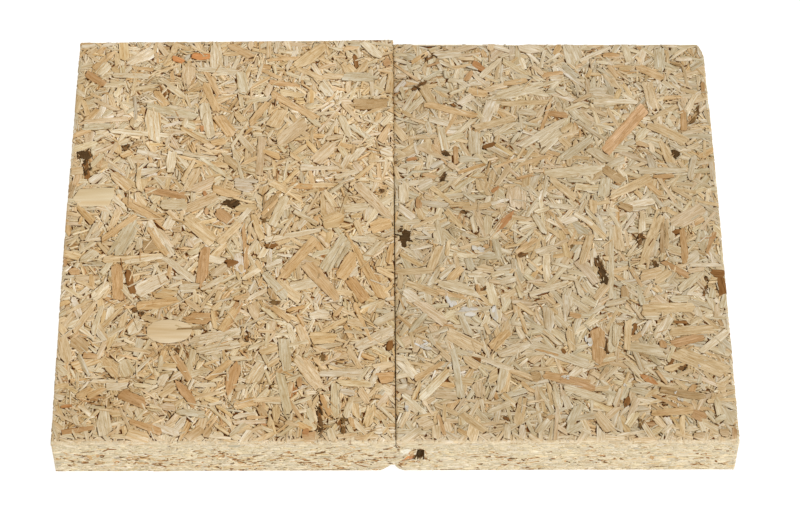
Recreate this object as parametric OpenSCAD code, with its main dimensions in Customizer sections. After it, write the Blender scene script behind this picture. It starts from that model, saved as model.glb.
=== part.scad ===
// Two tongue-and-groove particleboard floor panels, lying flat and pushed together edge to edge.
// X runs across the joint, Y runs along it with the near cut edge at -Y, and Z is up.
// Origin: centre of the footprint, on the floor.

/* [Panels] */
// Board thickness
board_t = 22; // [20:0.5:28]
// Width of the tongue panel, from its outer edge to its shoulder
tongue_panel_w = 140.8; // [80:0.2:300]
// Width of the groove panel, from its shoulder to its outer edge
groove_panel_w = 139.8; // [80:0.2:300]
// Length of the tongue panel along its outer edge
tongue_panel_l_outer = 212.4; // [120:0.2:300]
// Length of the tongue panel along the joint
tongue_panel_l_joint = 213.8; // [120:0.2:300]
// Length of the groove panel along the joint
groove_panel_l_joint = 211.2; // [120:0.2:300]
// Length of the groove panel along its outer edge
groove_panel_l_outer = 210.6; // [120:0.2:300]
// Ease on the worn top edges at the saw cuts
edge_ease = 0.8; // [0.3:0.1:1.5]

/* [Joint] */
// Gap between the two shoulders
seam_gap = 0.3; // [0.2:0.1:1]
// Length of the tongue at its upper corner
tongue_len = 8.9; // [6.5:0.1:9.5]
// How far the tongue tip leans back at its lower corner
tongue_lean = 1.1; // [0:0.1:1.5]
// Top face to the tongue, at its root
tongue_top_root = 4.4; // [4:0.1:5]
// Top face to the tongue, at its tip
tongue_top_tip = 5.8; // [5.2:0.1:6.5]
// Top face to the underside of the tongue, at its root
tongue_low_root = 16.3; // [15.5:0.1:17]
// Shoulder to the bend in the underside of the tongue
tongue_knee = 5.2; // [4:0.1:6]
// Top face to the underside of the tongue, at the bend
tongue_low_knee = 13.3; // [12.8:0.1:13.8]
// Top face to the underside of the tongue, at its tip
tongue_low_tip = 12.7; // [12:0.1:13]
// Ease on the corners of the tongue tip
tongue_ease = 0.7; // [0.3:0.1:1]
// Depth of the groove from its shoulder
groove_depth = 11.5; // [10:0.1:13]
// Free play between the tongue and the cheeks of the groove
play = 0.3; // [0.2:0.05:0.5]

/* [Broken corners] */
// Width of the chip under the front end of the tongue panel
chip_w = 6; // [3:0.1:9]
// Height of the chip under the front end of the tongue panel
chip_h = 4.3; // [2:0.1:4.6]
// How far back the chips run from the front end
chip_run = 13; // [6:0.5:30]
// Width of the chip under the front end of the groove panel
lip_chip_w = 3.5; // [1:0.1:5]
// Height of the chip under the front end of the groove panel
lip_chip_h = 3.1; // [1:0.1:4]
// Size across of the corner missing at the far outer end of the groove panel
corner_w = 2.4; // [0.5:0.1:5]
// Size along of the corner missing at the far outer end of the groove panel
corner_l = 6.2; // [1:0.1:12]

/* [Hidden] */

total_w = tongue_panel_w + seam_gap + groove_panel_w;
left_x = -total_w / 2;
shoulder_x = left_x + tongue_panel_w;
lip_x = shoulder_x + seam_gap;
right_x = total_w / 2;
tongue_tip_l = tongue_panel_l_joint + (tongue_panel_l_joint - tongue_panel_l_outer) / tongue_panel_w * tongue_len;
front_y = -max(tongue_panel_l_outer, tongue_panel_l_joint, tongue_tip_l, groove_panel_l_joint, groove_panel_l_outer) / 2;

// tongue underside and groove cheeks, measured down from the top face
low_slope = (tongue_low_root - tongue_low_knee) / tongue_knee;
groove_top_mouth = tongue_top_root - play;
groove_top_floor = tongue_top_tip + 0.1;
groove_low_floor = tongue_low_knee + play;
groove_low_mouth = groove_low_floor + low_slope * (tongue_knee - seam_gap);

wood_a = [0.84, 0.74, 0.58];
wood_b = [0.81, 0.73, 0.60];

// section of the tongue panel, X from its shoulder and Y up from the floor
module tongue_section() {
    polygon([
        [-tongue_panel_w, 0],
        [0, 0],
        [0, board_t - tongue_low_root],
        [tongue_knee, board_t - tongue_low_knee],
        [tongue_len - tongue_lean - tongue_ease, board_t - tongue_low_tip],
        [tongue_len - tongue_lean + 0.1, board_t - tongue_low_tip + tongue_ease],
        [tongue_len, board_t - tongue_top_tip - tongue_ease],
        [tongue_len - tongue_ease, board_t - tongue_top_tip],
        [0, board_t - tongue_top_root],
        [0, board_t],
        [-tongue_panel_w, board_t]
    ]);
}

// section of the groove panel, X from its shoulder and Y up from the floor
module groove_section() {
    polygon([
        [0, 0],
        [groove_panel_w, 0],
        [groove_panel_w, board_t],
        [0, board_t],
        [0, board_t - groove_top_mouth],
        [groove_depth, board_t - groove_top_floor],
        [groove_depth, board_t - groove_low_floor],
        [tongue_knee - seam_gap, board_t - groove_low_floor],
        [0, board_t - groove_low_mouth]
    ]);
}

// a section stood up and run along +Y from the front cut
module run_along(length) {
    translate([0, length, 0]) rotate([90, 0, 0]) linear_extrude(length) children();
}

// a long three-sided bar that takes the arris off a top edge, centred on the origin and lying along X
module ease_bar(length) {
    rotate([45, 0, 0]) cube([length, edge_ease * sqrt(2), edge_ease * sqrt(2)], center = true);
}

// wedge that fades out toward the back, for a chip in a lower corner at the front end
module chip_wedge(outline, height) {
    rotate([-atan(height / chip_run), 0, 0])
        translate([0, chip_run * 1.3, 0]) rotate([90, 0, 0])
            linear_extrude(chip_run * 1.3 + 4) polygon(outline);
}

// everything beyond the far cut of a panel, with the cut running from near_len at x0 to far_len at x1
module beyond_back(x0, len0, x1, len1) {
    slope = (len1 - len0) / (x1 - x0);
    translate([0, 0, -5]) linear_extrude(board_t + 10) polygon([
        [x0 - 20, front_y + len0 - 20 * slope],
        [x1 + 20, front_y + len1 + 20 * slope],
        [x1 + 20, front_y + max(len0, len1) + 40],
        [x0 - 20, front_y + max(len0, len1) + 40]
    ]);
}

// worn arris along the far cut of a panel
module back_ease(x0, len0, x1, len1) {
    translate([x0, front_y + len0, board_t])
        rotate([0, 0, atan2(len1 - len0, x1 - x0)])
            ease_bar(2 * (x1 - x0) + 60);
}

module tongue_panel() {
    color(wood_a) difference() {
        translate([shoulder_x, front_y, 0]) run_along(tongue_panel_l_joint + 10) tongue_section();
        beyond_back(left_x, tongue_panel_l_outer, shoulder_x, tongue_panel_l_joint);
        back_ease(left_x, tongue_panel_l_outer, shoulder_x, tongue_panel_l_joint);
        translate([shoulder_x, front_y, board_t]) ease_bar(2 * total_w);
        translate([left_x, 0, board_t]) rotate([0, 0, 90]) ease_bar(2 * total_w);
        translate([shoulder_x, front_y, 0])
            chip_wedge([
                [-chip_w, 0],
                [-0.31 * chip_w, chip_h],
                [1, chip_h],
                [1, -6],
                [-chip_w, -6]
            ], chip_h);
    }
}

module groove_panel() {
    color(wood_b) difference() {
        translate([lip_x, front_y, 0]) run_along(groove_panel_l_joint + 10) groove_section();
        beyond_back(lip_x, groove_panel_l_joint, right_x, groove_panel_l_outer);
        back_ease(lip_x, groove_panel_l_joint, right_x, groove_panel_l_outer);
        translate([lip_x, front_y, board_t]) ease_bar(2 * total_w);
        translate([right_x, 0, board_t]) rotate([0, 0, 90]) ease_bar(2 * total_w);
        translate([lip_x, front_y, 0])
            chip_wedge([
                [-1, lip_chip_h],
                [0, lip_chip_h],
                [0.35 * lip_chip_w, 0.5 * lip_chip_h],
                [lip_chip_w, 0],
                [lip_chip_w, -6],
                [-1, -6]
            ], lip_chip_h);
        translate([right_x, front_y + groove_panel_l_outer, -5]) linear_extrude(board_t + 10)
            polygon([
                [0, -corner_l],
                [5, -corner_l],
                [5, 5],
                [-corner_w, 5],
                [-corner_w, 0]
            ]);
    }
}

tongue_panel();
groove_panel();
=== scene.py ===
import bisect
import math

import bpy
import numpy as np
from mathutils import Matrix, Vector


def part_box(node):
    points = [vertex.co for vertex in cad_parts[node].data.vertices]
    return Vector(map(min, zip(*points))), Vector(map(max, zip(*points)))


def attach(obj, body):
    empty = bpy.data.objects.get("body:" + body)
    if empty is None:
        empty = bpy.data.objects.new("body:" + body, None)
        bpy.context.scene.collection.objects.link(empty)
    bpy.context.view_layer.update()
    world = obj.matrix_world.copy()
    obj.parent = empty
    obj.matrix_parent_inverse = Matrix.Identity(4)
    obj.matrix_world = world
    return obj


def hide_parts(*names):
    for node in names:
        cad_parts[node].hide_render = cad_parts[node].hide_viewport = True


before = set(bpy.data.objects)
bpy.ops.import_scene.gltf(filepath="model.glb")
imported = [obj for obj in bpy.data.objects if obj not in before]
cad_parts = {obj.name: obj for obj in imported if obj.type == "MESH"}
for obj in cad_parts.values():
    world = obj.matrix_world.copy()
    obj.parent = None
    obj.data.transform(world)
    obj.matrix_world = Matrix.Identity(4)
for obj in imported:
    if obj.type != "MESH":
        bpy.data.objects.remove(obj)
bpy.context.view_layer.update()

MM = 0.001
rng = np.random.default_rng(4107)

# ---------------------------------------------------------------- places, from the CAD boxes, in millimetres
tongue_lo, tongue_hi = [np.array(c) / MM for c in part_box("tongue_panel")]
groove_lo, groove_hi = [np.array(c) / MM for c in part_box("groove_panel")]
T = float(tongue_hi[2])  # board thickness
X0 = float(tongue_lo[0])  # outer edge of the tongue panel
X1 = float(groove_hi[0])  # outer edge of the groove panel
YF = float(tongue_lo[1])  # near saw cut
SR = float(groove_lo[0])  # shoulder of the groove panel
SL = SR - 0.3  # shoulder of the tongue panel
LEN_A0, LEN_A1 = 212.4, 213.8  # tongue panel: length at the outer edge and at the joint
LEN_B0, LEN_B1 = 211.2, 210.6  # groove panel: length at the joint and at the outer edge
CORNER_W, CORNER_L = 2.4, 6.2  # the corner missing at the far outer end of the groove panel
SKIN = 0.9  # how deep the strand skins reach below the faces


def back_a(x):
    return YF + LEN_A0 + (LEN_A1 - LEN_A0) * (x - X0) / (SL - X0)


def back_b(x):
    return YF + LEN_B0 + (LEN_B1 - LEN_B0) * (x - SR) / (X1 - SR)


# ---------------------------------------------------------------- wood tones, as seen, turned to linear


def lin(c):
    c = np.asarray(c, float) / 255.0
    return np.where(c <= 0.04045, c / 12.92, ((c + 0.055) / 1.055) ** 2.4)


TONE = {
    "cream": (216, 198, 166),
    "buff": (220, 198, 161),
    "salmon": (211, 171, 125),
    "pale": (210, 192, 158),
    "palestripe": (219, 202, 168),
    "straw": (208, 182, 140),
    "beige": (210, 186, 149),
    "grey": (202, 186, 153),
    "tan": (204, 172, 126),
    "drab": (184, 154, 111),
    "rust": (189, 151, 106),
    "orange": (196, 159, 112),
    "reddish": (184, 134, 86),
    "brown": (140, 98, 55),
    "drabdark": (128, 99, 60),
    "darkbrown": (118, 86, 51),
    "knot": (84, 62, 36),
    "amber": (208, 146, 92),
    "ember": (188, 132, 90),
    "white": (240, 228, 202),
    "residue": (210, 201, 184),
}
TONE = {k: lin(v) for k, v in TONE.items()}


def blend(**parts):
    names = list(parts)
    return names, (np.cumsum([parts[n] for n in names]) / sum(parts.values())).tolist()


MIX_A = blend(cream=0.17, pale=0.27, straw=0.27, beige=0.10, grey=0.05, tan=0.09, drab=0.035, orange=0.015, rust=0.012, reddish=0.003, brown=0.004)
MIX_B = blend(cream=0.13, pale=0.31, straw=0.23, beige=0.08, grey=0.14, tan=0.06, drab=0.035, orange=0.008, rust=0.008, reddish=0.002, brown=0.003)
MIX_EDGE = blend(cream=0.56, pale=0.30, beige=0.07, straw=0.04, grey=0.03)
MIX_BIG_A = blend(cream=0.16, pale=0.29, straw=0.30, beige=0.12, grey=0.06, tan=0.07)
MIX_BIG_B = blend(cream=0.12, pale=0.36, straw=0.22, beige=0.09, grey=0.16, tan=0.05)
CREAM_EDGE = lin((223, 205, 175))
LIGHT_SIDE = (0.93, -0.12)  # the direction of the key light in a face's frame: the side of a strand facing it gets a painted highlight, the side away from it painted shade


def shade(name, r, spread=1.0):
    k, t = r.normal(0, 1), r.normal(0, 1)
    return TONE[name] * (1 + spread * 0.055 * k) * (1 + spread * t * np.array((0.006, -0.002, -0.035)))


def pick(mix, r):
    names, edges = mix
    return shade(names[min(bisect.bisect_left(edges, r.random()), len(names) - 1)], r)


# ---------------------------------------------------------------- convex outlines


def clip(poly, nx, ny, c):
    """The part of a convex outline where nx * x + ny * y <= c."""
    out = []
    m = len(poly)
    d = [nx * p[0] + ny * p[1] - c for p in poly]
    for i in range(m):
        j = (i + 1) % m
        if d[i] <= 0:
            out.append(poly[i])
        if (d[i] < 0 < d[j]) or (d[j] < 0 < d[i]):
            t = d[i] / (d[i] - d[j])
            out.append((poly[i][0] + t * (poly[j][0] - poly[i][0]), poly[i][1] + t * (poly[j][1] - poly[i][1])))
    return out


def area(poly):
    s = 0.0
    for i in range(len(poly)):
        x0, y0 = poly[i - 1]
        x1, y1 = poly[i]
        s += x0 * y1 - x1 * y0
    return 0.5 * s


def tidy(poly, least=0.03):
    """Drops corners that lie almost on the one before."""
    out = []
    for p in poly:
        if not out or abs(p[0] - out[-1][0]) + abs(p[1] - out[-1][1]) > least:
            out.append(p)
    while len(out) > 1 and abs(out[0][0] - out[-1][0]) + abs(out[0][1] - out[-1][1]) <= least:
        out.pop()
    return out


def hull(points):
    pts = sorted(set((round(float(x), 5), round(float(y), 5)) for x, y in points))
    if len(pts) < 3:
        return pts

    def half(seq):
        h = []
        for p in seq:
            while len(h) > 1 and (h[-1][0] - h[-2][0]) * (p[1] - h[-2][1]) - (h[-1][1] - h[-2][1]) * (p[0] - h[-2][0]) <= 0:
                h.pop()
            h.append(p)
        return h[:-1]

    return half(pts) + half(pts[::-1])


def strip(length, width, r, rough=0.6, snap=0.55):
    """A broken wood strand: a long strip, tapered a little, with slanted and snapped ends. u across, v along."""
    l, w = length / 2, width / 2
    poly = [(-w, -l), (w, -l), (w, l), (-w, l)]
    for s in (-1, 1):
        if r.random() < 0.6:  # the side leans in toward one end
            a = math.atan(r.uniform(0.05, 0.5) * w / l) * r.choice((-1, 1))
            poly = clip(poly, s * math.cos(a), math.sin(a), w * math.cos(a) * r.uniform(0.88, 1.0))
    for e in (-1, 1):
        slant = r.uniform(-1.0, 1.0) * rough * 1.7
        nx, ny = math.sin(slant), e * math.cos(slant)
        poly = clip(poly, nx, ny, l * abs(ny) * r.uniform(0.93, 1.0))
        if r.random() < snap:
            k = -math.copysign(r.uniform(0.5, 1.3), slant)
            nx, ny = math.sin(k), e * math.cos(k)
            poly = clip(poly, nx, ny, l * abs(ny) * r.uniform(0.88, 0.99) + w * abs(nx) * 0.25)
        if len(poly) < 3:
            return []
    return tidy(poly, 0.05)


def outline(kind, length, width, r):
    l, w = length / 2, width / 2
    if kind == "l":  # a leaf, drawn to a blunt point at both ends
        skew = r.uniform(-0.25, 0.25) * w
        pts = [(s * w * (1.04 - abs(t) ** 1.9) * r.uniform(0.92, 1.05) + skew * t, t * l) for t in (-1, -0.78, -0.45, 0, 0.45, 0.78, 1) for s in (-1, 1)]
        return tidy(hull(pts), 0.12)
    if kind == "b":  # a rounded lump
        n = int(r.integers(6, 9))
        turn = np.sort((np.arange(n) + r.uniform(-0.38, 0.38, n)) * math.tau / n + r.uniform(0, 1))
        far = r.uniform(0.74, 1.14, n)
        return tidy(hull([(w * math.cos(a) * k, l * math.sin(a) * k) for a, k in zip(turn, far)]), 0.12)
    if kind == "o":  # a smooth egg, blunt at one end
        pts = [(w * math.cos(a) * (1.0 - 0.08 * math.sin(a)), l * math.sin(a) * r.uniform(0.93, 1.05)) for a in np.arange(16) * math.tau / 16]
        return tidy(clip(hull(pts), 0.12, -1.0, l * 0.93), 0.12)
    if kind == "t":  # a wedge
        return hull([(-w, -l), (w * 0.95, -l * 0.8), (w * 0.45, l * 0.6), (w * 0.1, l), (-w * 0.35, l * 0.85)])
    return strip(length, width, r, rough=0.42, snap=0.6)


def placed(poly, cx, cy, angle):
    c, s = math.cos(angle), math.sin(angle)
    return [(cx + c * u - s * v, cy + s * u + c * v) for u, v in poly]


# ---------------------------------------------------------------- a face of a board, covered with strands from the top down


class Border:
    """One side of a face: how strand ends stray over it, how far the face rolls off toward it, and the painted shade
    along it, if any.
    """

    def __init__(self, stray=(-0.1, 0.1), reach=0.0, drop=0.0, bands=2, fade=0.0, tone=None, more=None):
        self.stray, self.reach, self.drop, self.fade, self.tone, self.more = stray, reach, drop, fade, tone, more
        self.cuts = () if drop == 0 else (reach * 0.36, reach) if bands == 2 else (reach,)


class Face:
    """A flat face with its own 2D millimetre frame. Strands are laid front to back: each new one lies under those already there,
    so a coverage grid tells what still shows. A block is a convex place that later strands stay out of."""

    def __init__(self, window, borders, place, pitch=0.2, lowest=-0.7, tint=(1, 1, 1), detail=2, soft=1.0):
        self.window = [tuple(p) for p in window]
        self.borders = borders
        self.place = place  # (a, b, h) -> xyz in mm, h along the outward normal
        self.pitch = pitch
        self.lowest = lowest
        self.tint = np.array(tint)
        self.soft = soft  # how dark the rims of the strands are
        self.detail = detail  # 2: ragged outlines and edge bands, 1: edge bands, 0: neither
        p = np.array(self.window)
        self.lo = p.min(0) - 1.0
        self.hi = p.max(0) + 1.0
        n = np.ceil((self.hi - self.lo) / pitch).astype(int)
        self.shape = (int(n[1]), int(n[0]))
        self.cov = np.zeros(self.shape, bool)
        self.laid = np.zeros(self.shape, bool)
        self.queue = []
        self.h = np.zeros(self.shape, np.float32)
        self.block = np.zeros(self.shape, np.int32)
        self.blocks = [None]
        self.lines = []
        m = len(self.window)
        for i in range(m):
            (ax, ay), (bx, by) = self.window[i], self.window[(i + 1) % m]
            ex, ey = bx - ax, by - ay
            k = math.hypot(ex, ey)
            nx, ny = ey / k, -ex / k
            self.lines.append((nx, ny, nx * ax + ny * ay, borders[i]))
        ys = self.lo[1] + (np.arange(self.shape[0]) + 0.5) * pitch
        xs = self.lo[0] + (np.arange(self.shape[1]) + 0.5) * pitch
        gx, gy = np.meshgrid(xs, ys)
        inside = np.ones(self.shape, bool)
        for nx, ny, c, _ in self.lines:
            inside &= nx * gx + ny * gy <= c
        self.inside = inside
        self.cov[~inside] = True
        self.cells = int(inside.sum())
        self.open = self.cells
        self.gaps = 0
        self.strands = []

    def probe(self, poly):
        p = np.array(poly)
        lo, hi = p.min(0), p.max(0)
        i0 = max(0, int((lo[0] - self.lo[0]) / self.pitch))
        i1 = min(self.shape[1], int((hi[0] - self.lo[0]) / self.pitch) + 1)
        j0 = max(0, int((lo[1] - self.lo[1]) / self.pitch))
        j1 = min(self.shape[0], int((hi[1] - self.lo[1]) / self.pitch) + 1)
        if i1 <= i0 or j1 <= j0:
            return None, None, None, None
        xs = self.lo[0] + (np.arange(i0, i1) + 0.5) * self.pitch
        ys = self.lo[1] + (np.arange(j0, j1) + 0.5) * self.pitch
        q = np.roll(p, -1, 0)
        e = q - p
        nx, ny = e[:, 1], -e[:, 0]
        c = nx * p[:, 0] + ny * p[:, 1]
        side = nx[:, None, None] * xs[None, None, :] + ny[:, None, None] * ys[None, :, None] - c[:, None, None]
        return (slice(j0, j1), slice(i0, i1)), (side <= 0).all(0), xs[None, :], ys[:, None]

    def reserve(self, poly, keep=False):
        """A gap between strands, or with keep a place where the board itself stops."""
        if area(poly) < 0:
            poly = poly[::-1]
        edges = []
        m = len(poly)
        for i in range(m):
            (ax, ay), (bx, by) = poly[i], poly[(i + 1) % m]
            k = math.hypot(bx - ax, by - ay)
            if k < 1e-6:
                continue
            nx, ny = (by - ay) / k, -(bx - ax) / k
            edges.append((nx, ny, nx * ax + ny * ay))
        cx, cy = np.mean(poly, 0)
        g = 0.0 if keep else 0.07
        fat = [(x + g * math.copysign(1, x - cx), y + g * math.copysign(1, y - cy)) for x, y in poly]
        sl, ins, _, _ = self.probe(hull(fat))
        if sl is None:
            return False
        cells = ins & self.inside[sl]
        fresh = cells & ~self.cov[sl]
        k = int(fresh.sum())
        if not keep:
            cells = fresh
            if k < 3 or k < 0.35 * ins.sum():
                return False
            self.gaps += k
        self.blocks.append(edges)
        self.block[sl][cells] = len(self.blocks) - 1
        self.cov[sl] |= cells
        self.open -= k
        if keep:
            self.cells -= k
        return True

    def lay(self, poly, cx, cy, angle, colour, least=0.4, cells=4, step=0.055, stripe=0.0, rim=0.8, force=False, wide=1.0, bevel=0.14, over=False):
        """poly is the outline in the face's frame; cx, cy and angle are the strand's own frame."""
        if len(poly) < 3:
            return False
        if area(poly) < 0:
            poly = poly[::-1]
        sl, ins, gx, gy = self.probe(poly)
        if sl is None:
            return False
        if not over:
            block = self.block[sl]
            done = []
            while True:
                ids = block[ins]
                ids = ids[ids > 0]
                for k in done:
                    ids = ids[ids != k]
                if len(ids) == 0:
                    break
                k = int(ids[len(ids) // 2])
                done.append(k)
                best, most, edge = [], 0.0, None
                for nx, ny, c in self.blocks[k]:
                    q = clip(poly, -nx, -ny, -c)
                    if len(q) >= 3:
                        s_ = area(q)
                        if s_ > most:
                            best, most, edge = q, s_, (nx, ny, c)
                if most < 0.03 or len(done) > 9:
                    return False
                poly = best
                ins = ins & (edge[0] * gx + edge[1] * gy >= edge[2])
        here = ins & self.inside[sl]
        n = int(ins.sum())
        if n == 0:
            return False
        cov = self.cov[sl]
        fresh = here & ~cov
        k = int(fresh.sum())
        if k == 0 or (not force and (k < cells or k < least * n)):
            return False
        h = self.h[sl]
        under = here & cov
        z = float(h[under].min()) - step if under.any() else -0.004 * float(rng.random())
        if z < self.lowest:
            z = self.lowest - 0.05 * float(rng.random())
        shape = poly
        for nx, ny, c, border in self.lines:
            shape = clip(shape, nx, ny, c + rng.uniform(*border.stray) + (border.more(cx, cy) if border.more else 0.0))
            if len(shape) < 3:
                return False
        shape = tidy(shape)
        if len(shape) < 3 or area(shape) < 0.02:
            return False
        seen = self.showing(shape)
        h[here] = np.minimum(h[here], z)
        cov |= here
        self.laid[sl] |= here
        self.open -= k
        colour = colour() if callable(colour) else colour
        self.strands.append((shape, z, cx, cy, angle, colour * self.tint, stripe, rim, float(rng.random()), seen, wide, bevel))
        return True

    def covered(self):
        return 1.0 - self.open / self.cells

    def open_cell(self, r):
        """The middle of a cell nothing covers yet, in random order."""
        while True:
            while self.queue:
                j, i = divmod(self.queue.pop(), self.shape[1])
                if not self.cov[j, i]:
                    return self.lo + (np.array([i, j]) + 0.5) * self.pitch
            k = np.flatnonzero(~self.cov.ravel())
            if len(k) == 0:
                return None
            self.queue = r.permutation(k)[: max(1500, len(k) // 4)].tolist()

    def showing(self, shape):
        """Which sides of an outline aren't under strands laid earlier."""
        p = np.array(shape)
        e = np.roll(p, -1, 0) - p
        k = np.maximum(np.hypot(e[:, 0], e[:, 1]), 1e-6)
        n = np.stack([e[:, 1] / k, -e[:, 0] / k], 1)
        out = np.zeros(len(p), bool)
        for t in (0.1, 0.5, 0.9):
            q = p + e * t
            c = ((q - n * 0.06 - self.lo) / self.pitch).astype(int)
            c[:, 0] = np.clip(c[:, 0], 0, self.shape[1] - 1)
            c[:, 1] = np.clip(c[:, 1], 0, self.shape[0] - 1)
            out |= ~self.laid[c[:, 1], c[:, 0]]
        mid = p + e * 0.5
        for nx, ny, c, border in self.lines:
            out |= c - nx * mid[:, 0] - ny * mid[:, 1] < 0.35
        return out

    def dip(self, a, b):
        out = np.zeros(len(a))
        for nx, ny, c, border in self.lines:
            if border.drop:
                t = np.clip((border.reach - (c - nx * a - ny * b)) / border.reach, 0, 1)
                out = out + border.drop * (1 - np.sqrt(np.maximum(0, 1 - t * t)))
        return out

    def fading(self, a, b):
        out = np.zeros(len(a))
        for nx, ny, c, border in self.lines:
            if border.fade:
                t = np.clip((border.reach * 1.25 - (c - nx * a - ny * b)) / (border.reach * 1.25), 0, 1)
                out = np.maximum(out, border.fade * t)
        return out

    def border_shade(self, a, b):
        # painted shade near the borders that have a tone
        out = np.ones((len(a), 3))
        for nx, ny, c, border in self.lines:
            if border.tone:
                t = np.clip((border.reach - (c - nx * a - ny * b)) / border.reach, 0, 1)[:, None]
                out = out * (1 - t * (1 - np.array(border.tone)[None, :]))
        return out

    def at_border(self, a, b):
        out = np.zeros(len(a), bool)
        for nx, ny, c, border in self.lines:
            if not border.tone:
                out |= (c - nx * a - ny * b) < 0.3
        return out


# ---------------------------------------------------------------- strands to a mesh


def ragged(poly, wall, ca, sa, wide):
    """Breaks the long sides of an outline into shorter ones, a little off line."""
    out, seen = [], []
    m = len(poly)
    for i in range(m):
        (ax, ay), (bx, by) = poly[i], poly[(i + 1) % m]
        k = math.hypot(bx - ax, by - ay)
        out.append((ax, ay))
        seen.append(wall[i])
        n = (0 if k < 1.8 else min(7, int(k / 1.5))) if wide >= 1.2 else 0 if k < 3.0 else 1 if k < 6.5 else 2 if k < 11 else 3
        if not wall[i]:
            n = min(n, 1) if k > 6 else 0
        along = abs((bx - ax) * -sa + (by - ay) * ca) / max(k, 1e-6)  # 1 along the grain, 0 across it
        if wall[i] and along < 0.5 and k > 1.1:  # a broken end
            n = min(4, int(k / 0.75))
        for q in range(n):
            t = (q + 1 + rng.uniform(-0.3, 0.3)) / (n + 1)
            o = rng.normal(0, (0.1 if wide >= 1.2 else 0.06) if along > 0.7 else 0.2) * min(1.0, wide / 1.5)
            out.append((ax + (bx - ax) * t + (by - ay) / k * o, ay + (by - ay) * t - (bx - ax) / k * o))
            seen.append(wall[i])
    return out, seen


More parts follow.
